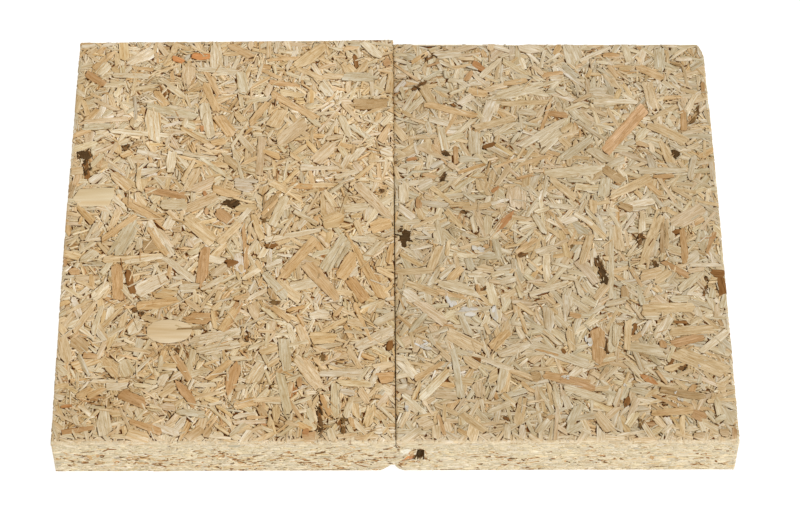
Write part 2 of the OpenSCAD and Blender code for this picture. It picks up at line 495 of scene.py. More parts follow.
class Skin:
    """Collects strands of one or more faces into one mesh, each with its own frame, colour and place on the bake map."""

    def __init__(self, name):
        self.name = name
        self.verts, self.uv_local, self.rect, self.strand, self.tone, self.faces = [], [], [], [], [], []
        self.rects = []

    def add_face(self, face, which=None, depth=SKIN, walls=True):
        for s in face.strands:
            if which is None or which(s):
                self.add(face, s, depth, walls)

    def add(self, face, strand, depth, walls):
        shape, z, cx, cy, ang, colour, stripe, rim, seed, seen, wide, bevel = strand
        ca, sa = math.cos(ang), math.sin(ang)
        pieces = [(shape, list(seen))]
        split = False
        for nx, ny, c, border in face.lines:
            if not border.cuts:
                continue
            nxt = []
            ends = (-9.0,) + border.cuts + (1e6,)
            for poly, wall in pieces:
                d = [c - nx * p[0] - ny * p[1] for p in poly]
                if min(d) >= border.reach - 1e-6:
                    nxt.append((poly, wall))
                    continue
                split = True
                for a, b in zip(ends[:-1], ends[1:]):
                    if max(d) <= a or min(d) >= b:
                        continue
                    q = clip(poly, nx, ny, c - a) if a > -5 else poly
                    q = clip(q, -nx, -ny, -(c - b)) if b < 1e5 else q
                    q = tidy(q, 1e-4)
                    if len(q) >= 3 and abs(area(q)) > 1e-3:
                        nxt.append((q, None))
            pieces = nxt
        rid = len(self.rects)
        lo = np.array([1e9, 1e9])
        hi = -lo
        base = np.array(colour)
        slow = 0.08 if wide >= 9 else 1.0
        lean = rng.normal(0, 0.055, 2)
        deepest = 1 - face.soft * (1 - float(np.clip(rng.normal(rim, 0.05), 0.14, 0.98)))
        light_side = LIGHT_SIDE[0] * ca + LIGHT_SIDE[1] * sa, -LIGHT_SIDE[0] * sa + LIGHT_SIDE[1] * ca
        for poly, wall in pieces:
            if len(poly) < 3:
                continue
            if not split and wide < 8 and face.detail > 1:
                poly, wall = ragged(poly, wall, ca, sa, wide)
            m = len(poly)
            p = np.array(poly)
            u = (p[:, 0] - cx) * ca + (p[:, 1] - cy) * sa
            v = -(p[:, 0] - cx) * sa + (p[:, 1] - cy) * ca
            ul, uh, vl, vh = u.min(), u.max(), v.min(), v.max()
            uc, vc, hw, hl = (ul + uh) / 2, (vl + vh) / 2, max((uh - ul) / 2, 0.05), max((vh - vl) / 2, 0.05)

            def grown(k):
                ku, kv = 1 + k / hw, 1 + k / hl
                return uc + (u - uc) * ku, vc + (v - vc) * kv

            def back(uu, vv):
                return cx + ca * uu - sa * vv, cy + sa * uu + ca * vv

            start = len(self.verts)
            # painted shade: walls darken to this toward their foot, down in the gaps between strands
            dark = base * np.array([0.33, 0.165, 0.05])
            # painted shade: each strand a little lighter toward one side and darker toward the other, as a slight tilt
            # to the light would give; the flat middle of a flake also tilts a little in its heights
            tilt_shade = 1 + lean[0] * (u - uc) / hw + lean[1] * (v - vc) / hl
            body = base[None, :] * np.clip(tilt_shade, 0.8, 1.2)[:, None] ** np.array([0.7, 1.0, 1.5])[None, :]
            # painted shade: the outline's darkest where it turns away from the light, with a painted highlight where it
            # faces it
            du, dv = (u - uc) / hw, (v - vc) / hl * min(1.0, hw / hl * 2.5)
            away = 0.5 - 0.5 * (du * light_side[0] + dv * light_side[1]) / np.maximum(np.hypot(du, dv), 1e-6)
            lit_side_highlight = 1.07 if deepest < 0.8 else 1.0
            edge = lit_side_highlight - (lit_side_highlight - deepest) * (away * rng.uniform(0.1, 1.3, m)) ** 1.2
            shaded_outline_colour = body * np.clip(edge, 0.15, 1.08)[:, None] ** np.array([0.62, 1.04, 2.15])[None, :]
            if split:
                dz = face.dip(p[:, 0], p[:, 1])
                f = face.fading(p[:, 0], p[:, 1])[:, None]
                tc = (base[None, :] * (1 - f) + CREAM_EDGE[None, :] * f) * face.border_shade(p[:, 0], p[:, 1])
                self.push(face, p[:, 0], p[:, 1], z - dz + np.zeros(m), u, v, u, v, tc, stripe, seed, rid, slow)
                self.faces.append(list(range(start, start + m)))
                top = start
            elif hw > 0.62 and bevel > 0 and face.detail:  # a flake: a flat middle and an edge band, wider on the side of the painted shade
                k_in = np.minimum((0.14 + 0.24 * away), 0.34 * hw)
                iu = u - np.sign(du) * np.minimum(k_in, np.abs(u - uc) * 0.6)
                iv = v - np.sign(v - vc) * np.minimum(k_in, np.abs(v - vc) * 0.4)
                ia, ib = back(iu, iv)
                self.push(face, ia, ib, z + float(np.clip(lean[0], -0.09, 0.09)) * 0.7 * (iu - uc) / hw, iu, iv, iu, iv, body, stripe, seed, rid, slow)
                self.push(face, p[:, 0], p[:, 1], np.full(m, z - 0.06), u, v, u, v, shaded_outline_colour, stripe, seed, rid, slow)
                self.faces.append(list(range(start, start + m)))
                for i in range(m):
                    j = (i + 1) % m
                    self.faces.append([start + i, start + m + i, start + m + j, start + j])
                top = start + m
            elif bevel > 0 and face.detail:  # a splinter: a low ridge along its middle, painted lighter there as a highlight
                mu_, mv_ = u.mean(), v.mean()
                lowend = v < mv_
                off = rng.uniform(-0.25, 0.25) * hw
                ru = np.array([u[lowend].mean() * 0.55 + mu_ * 0.45 + off, u[~lowend].mean() * 0.55 + mu_ * 0.45 + off])
                rv = np.array([v[lowend].mean() * 0.55 + mv_ * 0.45, v[~lowend].mean() * 0.55 + mv_ * 0.45])
                ra, rb = back(ru, rv)
                self.push(face, ra, rb, np.full(2, z), ru, rv, ru, rv, base * 1.07, stripe, seed, rid, slow)
                self.push(face, p[:, 0], p[:, 1], np.full(m, z - 0.05), u, v, u, v, shaded_outline_colour, stripe, seed, rid, slow)
                for i in range(m):
                    j = (i + 1) % m
                    ri, rj = start + (0 if lowend[i] else 1), start + (0 if lowend[j] else 1)
                    self.faces.append([start + 2 + i, start + 2 + j, rj] if ri == rj else [start + 2 + i, start + 2 + j, rj, ri])
                top = start + 2
            else:
                self.push(face, p[:, 0], p[:, 1], np.full(m, z), u, v, u, v, body, stripe, seed, rid, slow)
                self.faces.append(list(range(start, start + m)))
                top = start
            if not walls:
                lo = np.minimum(lo, [ul, vl])
                hi = np.maximum(hi, [uh, vh])
                continue
            # walls down to the core, leaning out a little, darkening toward the foot with painted shade
            if wall is None:  # only where the edge isn't shared with the next part of the same strand
                wall = []
                for i in range(m):
                    j = (i + 1) % m
                    shared = False
                    for nx, ny, c, border in face.lines:
                        for at in border.cuts:
                            di = c - nx * p[i, 0] - ny * p[i, 1]
                            dj = c - nx * p[j, 0] - ny * p[j, 1]
                            if abs(di - at) < 1e-4 and abs(dj - at) < 1e-4:
                                shared = True
                    wall.append(not shared)
            bu, bv = grown(0.06)
            ba, bb = back(bu, bv)
            su, sv = grown(0.22)
            keep = [i for i in range(m) if wall[i] or wall[i - 1]]
            if keep:
                k = np.array(keep)
                bottom = len(self.verts)
                deep = np.full(len(k), -depth - 0.05)
                bc = np.repeat(dark[None, :], len(k), 0)
                if split:
                    deep = deep - face.dip(p[k, 0], p[k, 1])
                    rimmed = face.at_border(p[k, 0], p[k, 1])
                    ff = face.fading(p[k, 0], p[k, 1])[:, None]
                    bc = np.where(rimmed[:, None], (base[None, :] * (1 - ff) + CREAM_EDGE[None, :] * ff) * 0.82, bc)
                self.push(face, ba[k], bb[k], deep, bu[k], bv[k], su[k], sv[k], bc, stripe, seed, rid, slow)
                idx = {i: bottom + n_ for n_, i in enumerate(keep)}
                for i in range(m):
                    if wall[i]:
                        j = (i + 1) % m
                        self.faces.append([top + i, idx[i], idx[j], top + j])
            lo = np.minimum(lo, [su.min(), sv.min()])
            hi = np.maximum(hi, [su.max(), sv.max()])
        self.rects.append((lo[0], lo[1], hi[0] - lo[0], hi[1] - lo[1]))

    def push(self, face, a, b, h, u, v, mu, mv, colour, stripe, seed, rid, slow):
        colour = np.broadcast_to(colour, (len(a), 3))
        for i in range(len(a)):
            self.verts.append(face.place(a[i], b[i], h[i]))
            self.uv_local.append((mu[i], mv[i]))
            self.rect.append(rid)
            self.strand.append((u[i] * slow, v[i] * slow, seed * 37.0))
            self.tone.append((colour[i, 0], colour[i, 1], colour[i, 2], stripe))

    def pack(self):
        """Shelves of strands, longest first, in a square."""
        w = np.array([r[2] for r in self.rects])
        h = np.array([r[3] for r in self.rects])
        gap = 0.18
        order = np.argsort(-h)
        side = math.sqrt(float(((w + gap) * (h + gap)).sum()))
        while True:
            x = y = gap
            shelf = 0.0
            pos = np.zeros((len(w), 2))
            fits = True
            for i in order:
                if x + w[i] + gap > side:
                    x = gap
                    y += shelf + gap
                    shelf = 0.0
                if shelf == 0.0:
                    shelf = h[i]
                if y + h[i] + gap > side or w[i] + 2 * gap > side:
                    fits = False
                    break
                pos[i] = (x, y)
                x += w[i] + gap
            if fits:
                break
            side *= 1.015
        return pos, side

    def build(self, material):
        mesh = bpy.data.meshes.new(self.name)
        verts = np.array(self.verts, np.float64) * MM
        mesh.from_pydata(verts.tolist(), [], self.faces)
        pos, side = self.pack()
        rect = np.array(self.rect)
        r = np.array([(q[0], q[1]) for q in self.rects])
        uv = (np.array(self.uv_local) - r[rect] + pos[rect]) / side
        loops = np.empty(len(mesh.loops), np.int32)
        mesh.loops.foreach_get("vertex_index", loops)
        layer = mesh.uv_layers.new(name="OFBake")
        layer.data.foreach_set("uv", np.clip(uv[loops], 0, 1).astype(np.float32).ravel())
        at = mesh.attributes.new("strand", "FLOAT_VECTOR", "POINT")
        at.data.foreach_set("vector", np.array(self.strand, np.float32).ravel())
        at = mesh.attributes.new("tone", "FLOAT_COLOR", "POINT")
        at.data.foreach_set("color", np.array(self.tone, np.float32).ravel())
        mesh.validate()
        mesh.update()
        ob = bpy.data.objects.new(self.name, mesh)
        bpy.context.scene.collection.objects.link(ob)
        mesh.materials.append(material)
        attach(ob, "root")
        tris = sum(len(f) - 2 for f in self.faces)
        print("piece", self.name, "strands", len(self.rects), "triangles", tris, "map side mm", round(side, 1))
        return ob


# ---------------------------------------------------------------- filling a face


def rim_shade(r):
    """How dark the shaded side of a strand gets: most lie flush, a few stand over a dark line."""
    k = r.random()
    return 0.99 - 0.12 * r.random() if k < 0.45 else 0.88 - 0.2 * r.random() if k < 0.72 else 0.62 - 0.44 * r.random()


def grain_stripe(r):
    return float(r.random() ** 2.5)


def crevices(face, r, first, share, width=0.46, length=2.4, least=1.2):
    """Dark gaps along the sides and ends of the strands laid since `first`, more of them on the side away from the light."""
    n0 = face.gaps
    for shape, z, cx, cy, ang, *rest in list(face.strands[first:]):
        m = len(shape)
        for i in range(m):
            (ax, ay), (bx, by) = shape[i], shape[(i + 1) % m]
            k = math.hypot(bx - ax, by - ay)
            if k < least:
                continue
            ex, ey = (bx - ax) / k, (by - ay) / k
            nx, ny = ey, -ex
            if r.random() > share * (0.55 - 0.45 * nx - 0.12 * ny):
                continue
            long = min(k, float(r.lognormal(math.log(length), 0.5)))
            w = float(np.clip(r.lognormal(math.log(width), 0.38), 0.2, 0.95))
            t0 = r.uniform(0, k - long)
            q = [(t0, -0.03), (t0 + long * r.uniform(0.08, 0.45), w), (t0 + long * r.uniform(0.55, 0.92), w * r.uniform(0.5, 1.0)), (t0 + long, -0.03)]
            face.reserve(hull([(ax + ex * t + nx * o, ay + ey * t + ny * o) for t, o in q]))
    return face.gaps - n0


def slits(face, r, count, width=(0.25, 0.6), length=(1.0, 3.6), angle=None):
    n = 0
    for _ in range(count * 3):
        if n >= count:
            break
        cell = face.open_cell(r)
        if cell is None:
            break
        a = r.uniform(0, math.pi) if angle is None else angle + r.normal(0, 0.12)
        l, w = r.uniform(*length) / 2, r.uniform(*width) / 2
        q = [(-w, -l * 0.3), (0, -l), (w, -l * 0.1), (w * 0.8, l * 0.5), (0, l), (-w * 0.9, l * 0.4)]
        n += face.reserve(placed(hull(q), cell[0], cell[1], a))


class Pool:
    """A stock of broken outlines to throw, so that each is only worked out once."""

    def __init__(self, r, n, length, width, spread, lmin, lmax, wmin, wmax, scale=1.0, rough=0.6, snap=0.55):
        self.items = []
        while len(self.items) < n:
            l = scale * float(np.clip(r.lognormal(math.log(length), spread), lmin, lmax))
            w = scale * float(np.clip(r.lognormal(math.log(width), 0.32), wmin, wmax))
            w = min(w, l * 0.55)
            o = strip(l, w, r, rough, snap)
            if len(o) > 2:
                self.items.append((o, l, w))

    def take(self, r):
        return self.items[int(r.random() * len(self.items))]


def throw(face, mix, r, target, tries, length, width, lmin, lmax, wmin, wmax, least, cells, scale=1.0, rough=0.6):
    pool = Pool(r, 500, length, width, 0.34, lmin, lmax, wmin, wmax, scale, rough)
    for _ in range(tries):
        if face.covered() >= target:
            break
        cell = face.open_cell(r)
        if cell is None:
            break
        o, l, w = pool.take(r)
        a = math.pi * r.random()
        face.lay(placed(o, cell[0], cell[1], a), cell[0], cell[1], a, lambda: pick(mix, r), least=least, cells=cells, stripe=grain_stripe(r), rim=rim_shade(r), wide=w)


def bunches(face, mix, r, target, tries, scale=1.0, width=0.84, length=6.4, many=8):
    """Splintered bunches: slivers side by side, fanned a little, with dark slits between some of them."""
    pool = Pool(r, 800, length, width, 0.42, 2.2, 17, 0.4, 1.9, scale, 0.9, 0.85)
    for _ in range(tries):
        if face.covered() >= target:
            break
        cell = face.open_cell(r)
        if cell is None:
            break
        ang = math.pi * r.random()
        ca, sa = math.cos(ang), math.sin(ang)
        tone = pick(mix, r)
        n = 2 + int((many - 2) * r.random() ** 1.4)
        off = 0.0
        fan = r.normal(0, 0.045)
        turns, slips, tones = r.normal(0, 0.06, n), r.normal(0, 1.1, (n, 2)), np.clip(r.normal(0.98, 0.12, n), 0.66, 1.16)
        for k in range(n):
            o, l, w = pool.take(r)
            a = ang + turns[k] + (k - n / 2) * fan
            cx = cell[0] + off * ca - sa * slips[k, 0]
            cy = cell[1] + off * sa + ca * slips[k, 1]
            off += w * (0.92 + 0.35 * r.random())
            f = tones[k]
            face.lay(placed(o, cx, cy, a), cx, cy, a, tone * np.array((f**0.85, f, f**1.3)), least=0.32, cells=10, rim=rim_shade(r), wide=w)


def crumbs(face, mix, r, target, tries, scale=1.0, low=0.84):
    """What shows between the slivers, deeper down, and painted darker and browner for the shade it lies in."""
    pool = Pool(r, 500, 3.2, 0.72, 0.42, 1.2, 7.0, 0.4, 1.15, scale, 0.8, 0.8)

    def deeper():
        # painted shade: each crumb darker and browner than the tone picked for it
        f = float(np.clip(r.normal(low, 0.15), 0.45, 1.08))
        return pick(mix, r) * np.array((f**0.85, f, f**1.35))

    for _ in range(tries):
        if face.covered() >= target:
            break
        cell = face.open_cell(r)
        if cell is None:
            break
        o, l, w = pool.take(r)
        a = math.pi * r.random()
        face.lay(placed(o, cell[0], cell[1], a), cell[0], cell[1], a, deeper, least=0.22, cells=5, rim=rim_shade(r), wide=w)


def dark_mark(face, tone, px, py, length, width, a, r):
    """A scrap of bark or a knot: lumps and splinters over each other, with an uneven outline."""
    kin = {"knot": ("knot", "knot", "darkbrown"), "darkbrown": ("darkbrown", "darkbrown", "knot", "brown"), "drabdark": ("drabdark", "darkbrown", "drabdark", "drab"), "brown": ("brown", "brown", "darkbrown", "rust")}[tone]
    ca, sa = math.cos(a), math.sin(a)
    if length > 4:  # a fibre of the pale wood across it
        for _ in range(1):
            u, v = r.uniform(-0.5, 0.5) * width, r.uniform(-0.45, 0.45) * length
            b = a + r.normal(0, 0.5)
            w = r.uniform(0.25, 0.42)
            cx, cy = px + ca * u - sa * v, py + sa * u + ca * v
            o = strip(r.uniform(1.2, 2.6), w, r, 0.9, 0.8)
            if len(o) > 2:
                face.lay(placed(o, cx, cy, b), cx, cy, b, shade(("pale", "straw", "tan")[int(r.integers(3))], r), cells=3, least=0.2, rim=0.9, wide=w)
    kind = lambda: shade(kin[int(r.integers(len(kin)))], r) * float(r.uniform(0.8, 1.12))
    if length * width > 3:  # splinters that stand out of the outline
        for _ in range(int(np.clip(round(length), 3, 7))):
            t = r.uniform(0, math.tau)
            u, v = math.cos(t) * width * 0.42, math.sin(t) * length * 0.42
            b = a + r.normal(0, 0.5)
            w = float(r.uniform(0.4, 0.85))
            o = strip(float(np.clip(length * r.uniform(0.3, 0.7), 1.0, 3.4)), w, r, 0.9, 0.95)
            cx, cy = px + ca * u - sa * v, py + sa * u + ca * v
            if len(o) > 2:
                face.lay(placed(o, cx, cy, b), cx, cy, b, kind(), force=True, rim=0.8, wide=w)
    n = int(np.clip(round(length / max(width, 1.0)), 2, 5))
    for k in range(n):  # lumps in a row
        v = ((k + 0.5) / n - 0.5) * length * 0.62
        u = r.normal(0, 0.07) * width
        l = length * (0.62 if n == 2 else 1.35 / n) * r.uniform(0.9, 1.12)
        w = width * r.uniform(0.74, 0.98) * (1.08 - 0.5 * abs(v) / length)
        b = a + r.normal(0, 0.16)
        cx, cy = px + ca * u - sa * v, py + sa * u + ca * v
        face.lay(placed(outline("b", l, w, r), cx, cy, b), cx, cy, b, kind(), force=True, rim=0.86, wide=max(w, 0.7))


def fill_flakes(face, mix, r, ox, oy, named, residue, scale=1.0, gaps=1.0, big=0.18, medium=0.60, over=0, mix_big=None):
    for x, y, length, width, deg in residue:
        a = math.radians(deg)
        for k in range(6):  # smeared, in patches
            u, v = r.normal(0, 0.24) * width * (k > 0), r.uniform(-0.42, 0.42) * length * (k > 0)
            px, py = ox + x + math.cos(a) * u - math.sin(a) * v, oy + y + math.sin(a) * u + math.cos(a) * v
            b = a + r.normal(0, 0.35)
            face.lay(placed(outline("b", length * r.uniform(0.3, 0.62), width * r.uniform(0.3, 0.7), r), px, py, b), px, py, b, shade("residue", r, 0.9), force=True, rim=0.97, wide=9, bevel=0)
    dark = ("knot", "darkbrown", "drabdark")
    for tone, x, y, length, width, deg, kind in named:
        if tone in dark:
            dark_mark(face, tone, ox + x, oy + y, length * 1.12, width * 1.08, math.radians(deg), r)
    # splinters that lie over everything else, most of them near the sides of the named flakes
    spots = [(ox + x, oy + y, length, width, math.radians(deg)) for tone, x, y, length, width, deg, kind in named if length > 7]
    if not spots:
        spots = [(*face.open_cell(r), 12.0, 3.0, math.pi * r.random()) for _ in range(150)]
    for _ in range(over):
        cx, cy, length, width, a0 = spots[int(r.integers(len(spots)))]
        u, v = r.normal(0, 0.6) * width, r.uniform(-0.6, 0.6) * length
        cx, cy = cx + math.cos(a0) * u - math.sin(a0) * v, cy + math.sin(a0) * u + math.cos(a0) * v
        a = a0 + r.normal(0, 0.7)
        w = float(np.clip(r.lognormal(math.log(0.55), 0.3), 0.3, 1.1))
        o = strip(float(np.clip(r.lognormal(math.log(4.2), 0.45), 1.4, 12)), w, r, 0.9, 0.8)
        if len(o) > 2:
            face.lay(placed(o, cx, cy, a), cx, cy, a, pick(mix, r) * float(r.uniform(0.84, 1.06)), cells=4, least=0.3, rim=rim_shade(r), wide=w)
    for tone, x, y, length, width, deg, kind in named:
        a = math.radians(deg)
        stripe = 1.0 if tone == "palestripe" else 0.35 * grain_stripe(r)
        if tone in dark:
            continue
        own = shade(tone, r, 0.5)
        if (kind == "b" or width > 3.2) and kind != "o" and tone not in ("palestripe", "reddish", "amber"):  # it comes apart in strips along the grain
            n = int(np.clip(round(width / 1.5), 2, 4))
            for k in range(n):
                if r.random() < (0.2 if kind == "b" else 0.55):
                    continue
                u = ((k + 0.5) / n - 0.5) * width * 0.95 + r.normal(0, 0.1)
                v = r.normal(0, 0.1) * length
                b = a + r.normal(0, 0.05)
                o = strip(length * r.uniform(0.55, 1.0), width / n * r.uniform(0.7, 1.15), r, 0.9, 0.85)
                cx, cy = ox + x + math.cos(a) * u - math.sin(a) * v, oy + y + math.sin(a) * u + math.cos(a) * v
                if len(o) > 2:
                    f = float(np.clip(r.normal(1.0, 0.06), 0.86, 1.12))
                    face.lay(placed(o, cx, cy, b), cx, cy, b, own * np.array((f**0.85, f, f**1.3)), force=True, stripe=stripe, rim=0.98 - 0.3 * r.random(), wide=width / n)
        face.lay(placed(outline(kind, length, width, r), ox + x, oy + y, a), ox + x, oy + y, a, own, force=True, stripe=stripe, rim=0.97 if kind == "o" else rim_shade(r), wide=9 if kind == "o" else max(width, 1.5))
    crevices(face, r, 0, 1.0 * gaps, 0.48, 3.0)
    n = len(face.strands)
    throw(face, mix_big or mix, r, max(big, face.covered() + 0.08), 4000, 12.5, 3.4, 7, 28, 2.0, 6.5, 0.66, 60, scale)
    crevices(face, r, n, 1.0 * gaps, 0.46, 2.8)
    n = len(face.strands)
    throw(face, mix_big or mix, r, medium, 20000, 8.6, 2.1, 3.6, 20, 0.9, 4.6, 0.46, 24, scale)
    crevices(face, r, n, 0.85 * gaps, 0.44, 2.4)
    slits(face, r, int(520 * gaps), (0.4, 0.9), (0.9, 3.0))
    bunches(face, mix, r, 0.90, 20000, scale)
    slits(face, r, int(560 * gaps), (0.32, 0.6), (0.7, 2.0))
    bunches(face, mix, r, 0.93, 3000, scale * 0.8, many=4)
    crumbs(face, mix, r, 0.978, 40000, scale)
    print("face covered", round(face.covered(), 3), "gaps", round(face.gaps / face.cells, 4), "strands", len(face.strands))


def fill_layers(face, mix, r, marks=(), over=(), target=0.985, ox=0.0, oy=0.0, scale=1.0, specks=1.0, gaps=1.0):
    """A saw cut across the board: strands cut short, in thin level layers, with the brown ends of some of them."""
    for group, force_over in ((over, True), (marks, False)):
        for x, z, length, width, deg, tone in group:
            a = math.radians(90 + deg)
            o = outline("l" if length > 2 * width else "b", length, width, r)
            if len(o) > 2:
                face.lay(placed(o, ox + x, oy + z, a), ox + x, oy + z, a, shade(tone, r), force=True, rim=0.85, wide=0.5, step=0.03, over=force_over)
    span = face.cells * face.pitch**2
    for _ in range(int(span / 6.5 * specks)):
        cell = face.open_cell(r)
        # more of the brown ends lie in the middle layers
        if r.random() > 0.06 + 0.94 * math.exp(-(((cell[1] - 8.0) / 4.6) ** 2)):
            continue
        n = 1 + int(r.random() ** 1.5 * 5)
        turn = r.normal(0, 14)
        for k in range(n):
            a = math.radians(90 + turn + r.normal(0, 16))
            cx, cz = cell[0] + r.normal(0, 1.0) * (k > 0), cell[1] + r.normal(0, 0.3) * (k > 0)
            tone = ("brown", "darkbrown", "brown", "reddish", "rust", "tan")[min(5, int(r.random() ** (1.5 if k == 0 else 0.9) * 6))]
            o = outline("l", float(np.clip(r.lognormal(math.log(1.5), 0.5), 0.6, 4.2)), float(r.uniform(0.42, 0.9)), r)
            face.lay(placed(o, cx, cz, a), cx, cz, a, shade(tone, r) * r.uniform(0.7, 1.1), least=0.4, cells=3, rim=0.8, wide=0.5, step=0.02)
        if n > 2:  # the paler wood round them is stained
            for _ in range(2):
                a = math.radians(90 + turn + r.normal(0, 10))
                o = outline("l", float(r.uniform(1.5, 4.0)), float(r.uniform(0.5, 0.9)), r)
                cx, cz = cell[0] + r.normal(0, 0.9), cell[1] + r.normal(0, 0.4)
                face.lay(placed(o, cx, cz, a), cx, cz, a, shade(("tan", "orange", "straw")[int(r.integers(3))], r), least=0.25, cells=3, rim=0.8, wide=0.6, step=0.02)
    for _ in range(int(span / 42 * gaps)):
        cell = face.open_cell(r)
        q = outline("l", float(np.clip(r.lognormal(math.log(1.4), 0.5), 0.6, 4.0)), r.uniform(0.3, 0.62), r)
        face.reserve(placed(q, cell[0], cell[1], math.radians(90 + r.normal(0, 14))))
    for target_, length, width, least in ((0.28, 3.4, 1.0, 0.5), (0.7, 2.1, 0.82, 0.36), (target, 1.45, 0.66, 0.25)):
        pool = Pool(r, 400, length, width, 0.5, 0.8, 16, 0.34, 1.6, scale, 0.9, 0.85)
        for _ in range(40000):
            if face.covered() >= target_:
                break
            cell = face.open_cell(r)
            if cell is None:
                break
            o, l, w = pool.take(r)
            a = math.pi / 2 + r.normal(0, 0.12 if l > 3 else 0.34)
            face.lay(placed(o, cell[0], cell[1], a), cell[0], cell[1], a, lambda: pick(mix, r) * float(np.clip(r.normal(0.99, 0.085), 0.72, 1.12)), least=least, cells=5, step=0.015, rim=0.97 - 0.5 * r.random() ** 2, wide=w)
    print("edge covered", round(face.covered(), 3), "gaps", round(face.gaps / face.cells, 4), "strands", len(face.strands))

# ---------------------------------------------------------------- the flakes and marks that stand out
# tone, x and y of the middle in mm from the panel's near left corner, length, width, turn in degrees from the panel's length, shape

# The eight lists below place 448 flakes and marks where the photo shows them: their ends were picked by eye in enlarged
# crops, carried to the board's face through the fitted camera by a scratch script, rounded, and then touched up by hand.
# False leaves every flake to the seeded scatter.
MARKS_FROM_PHOTO = True

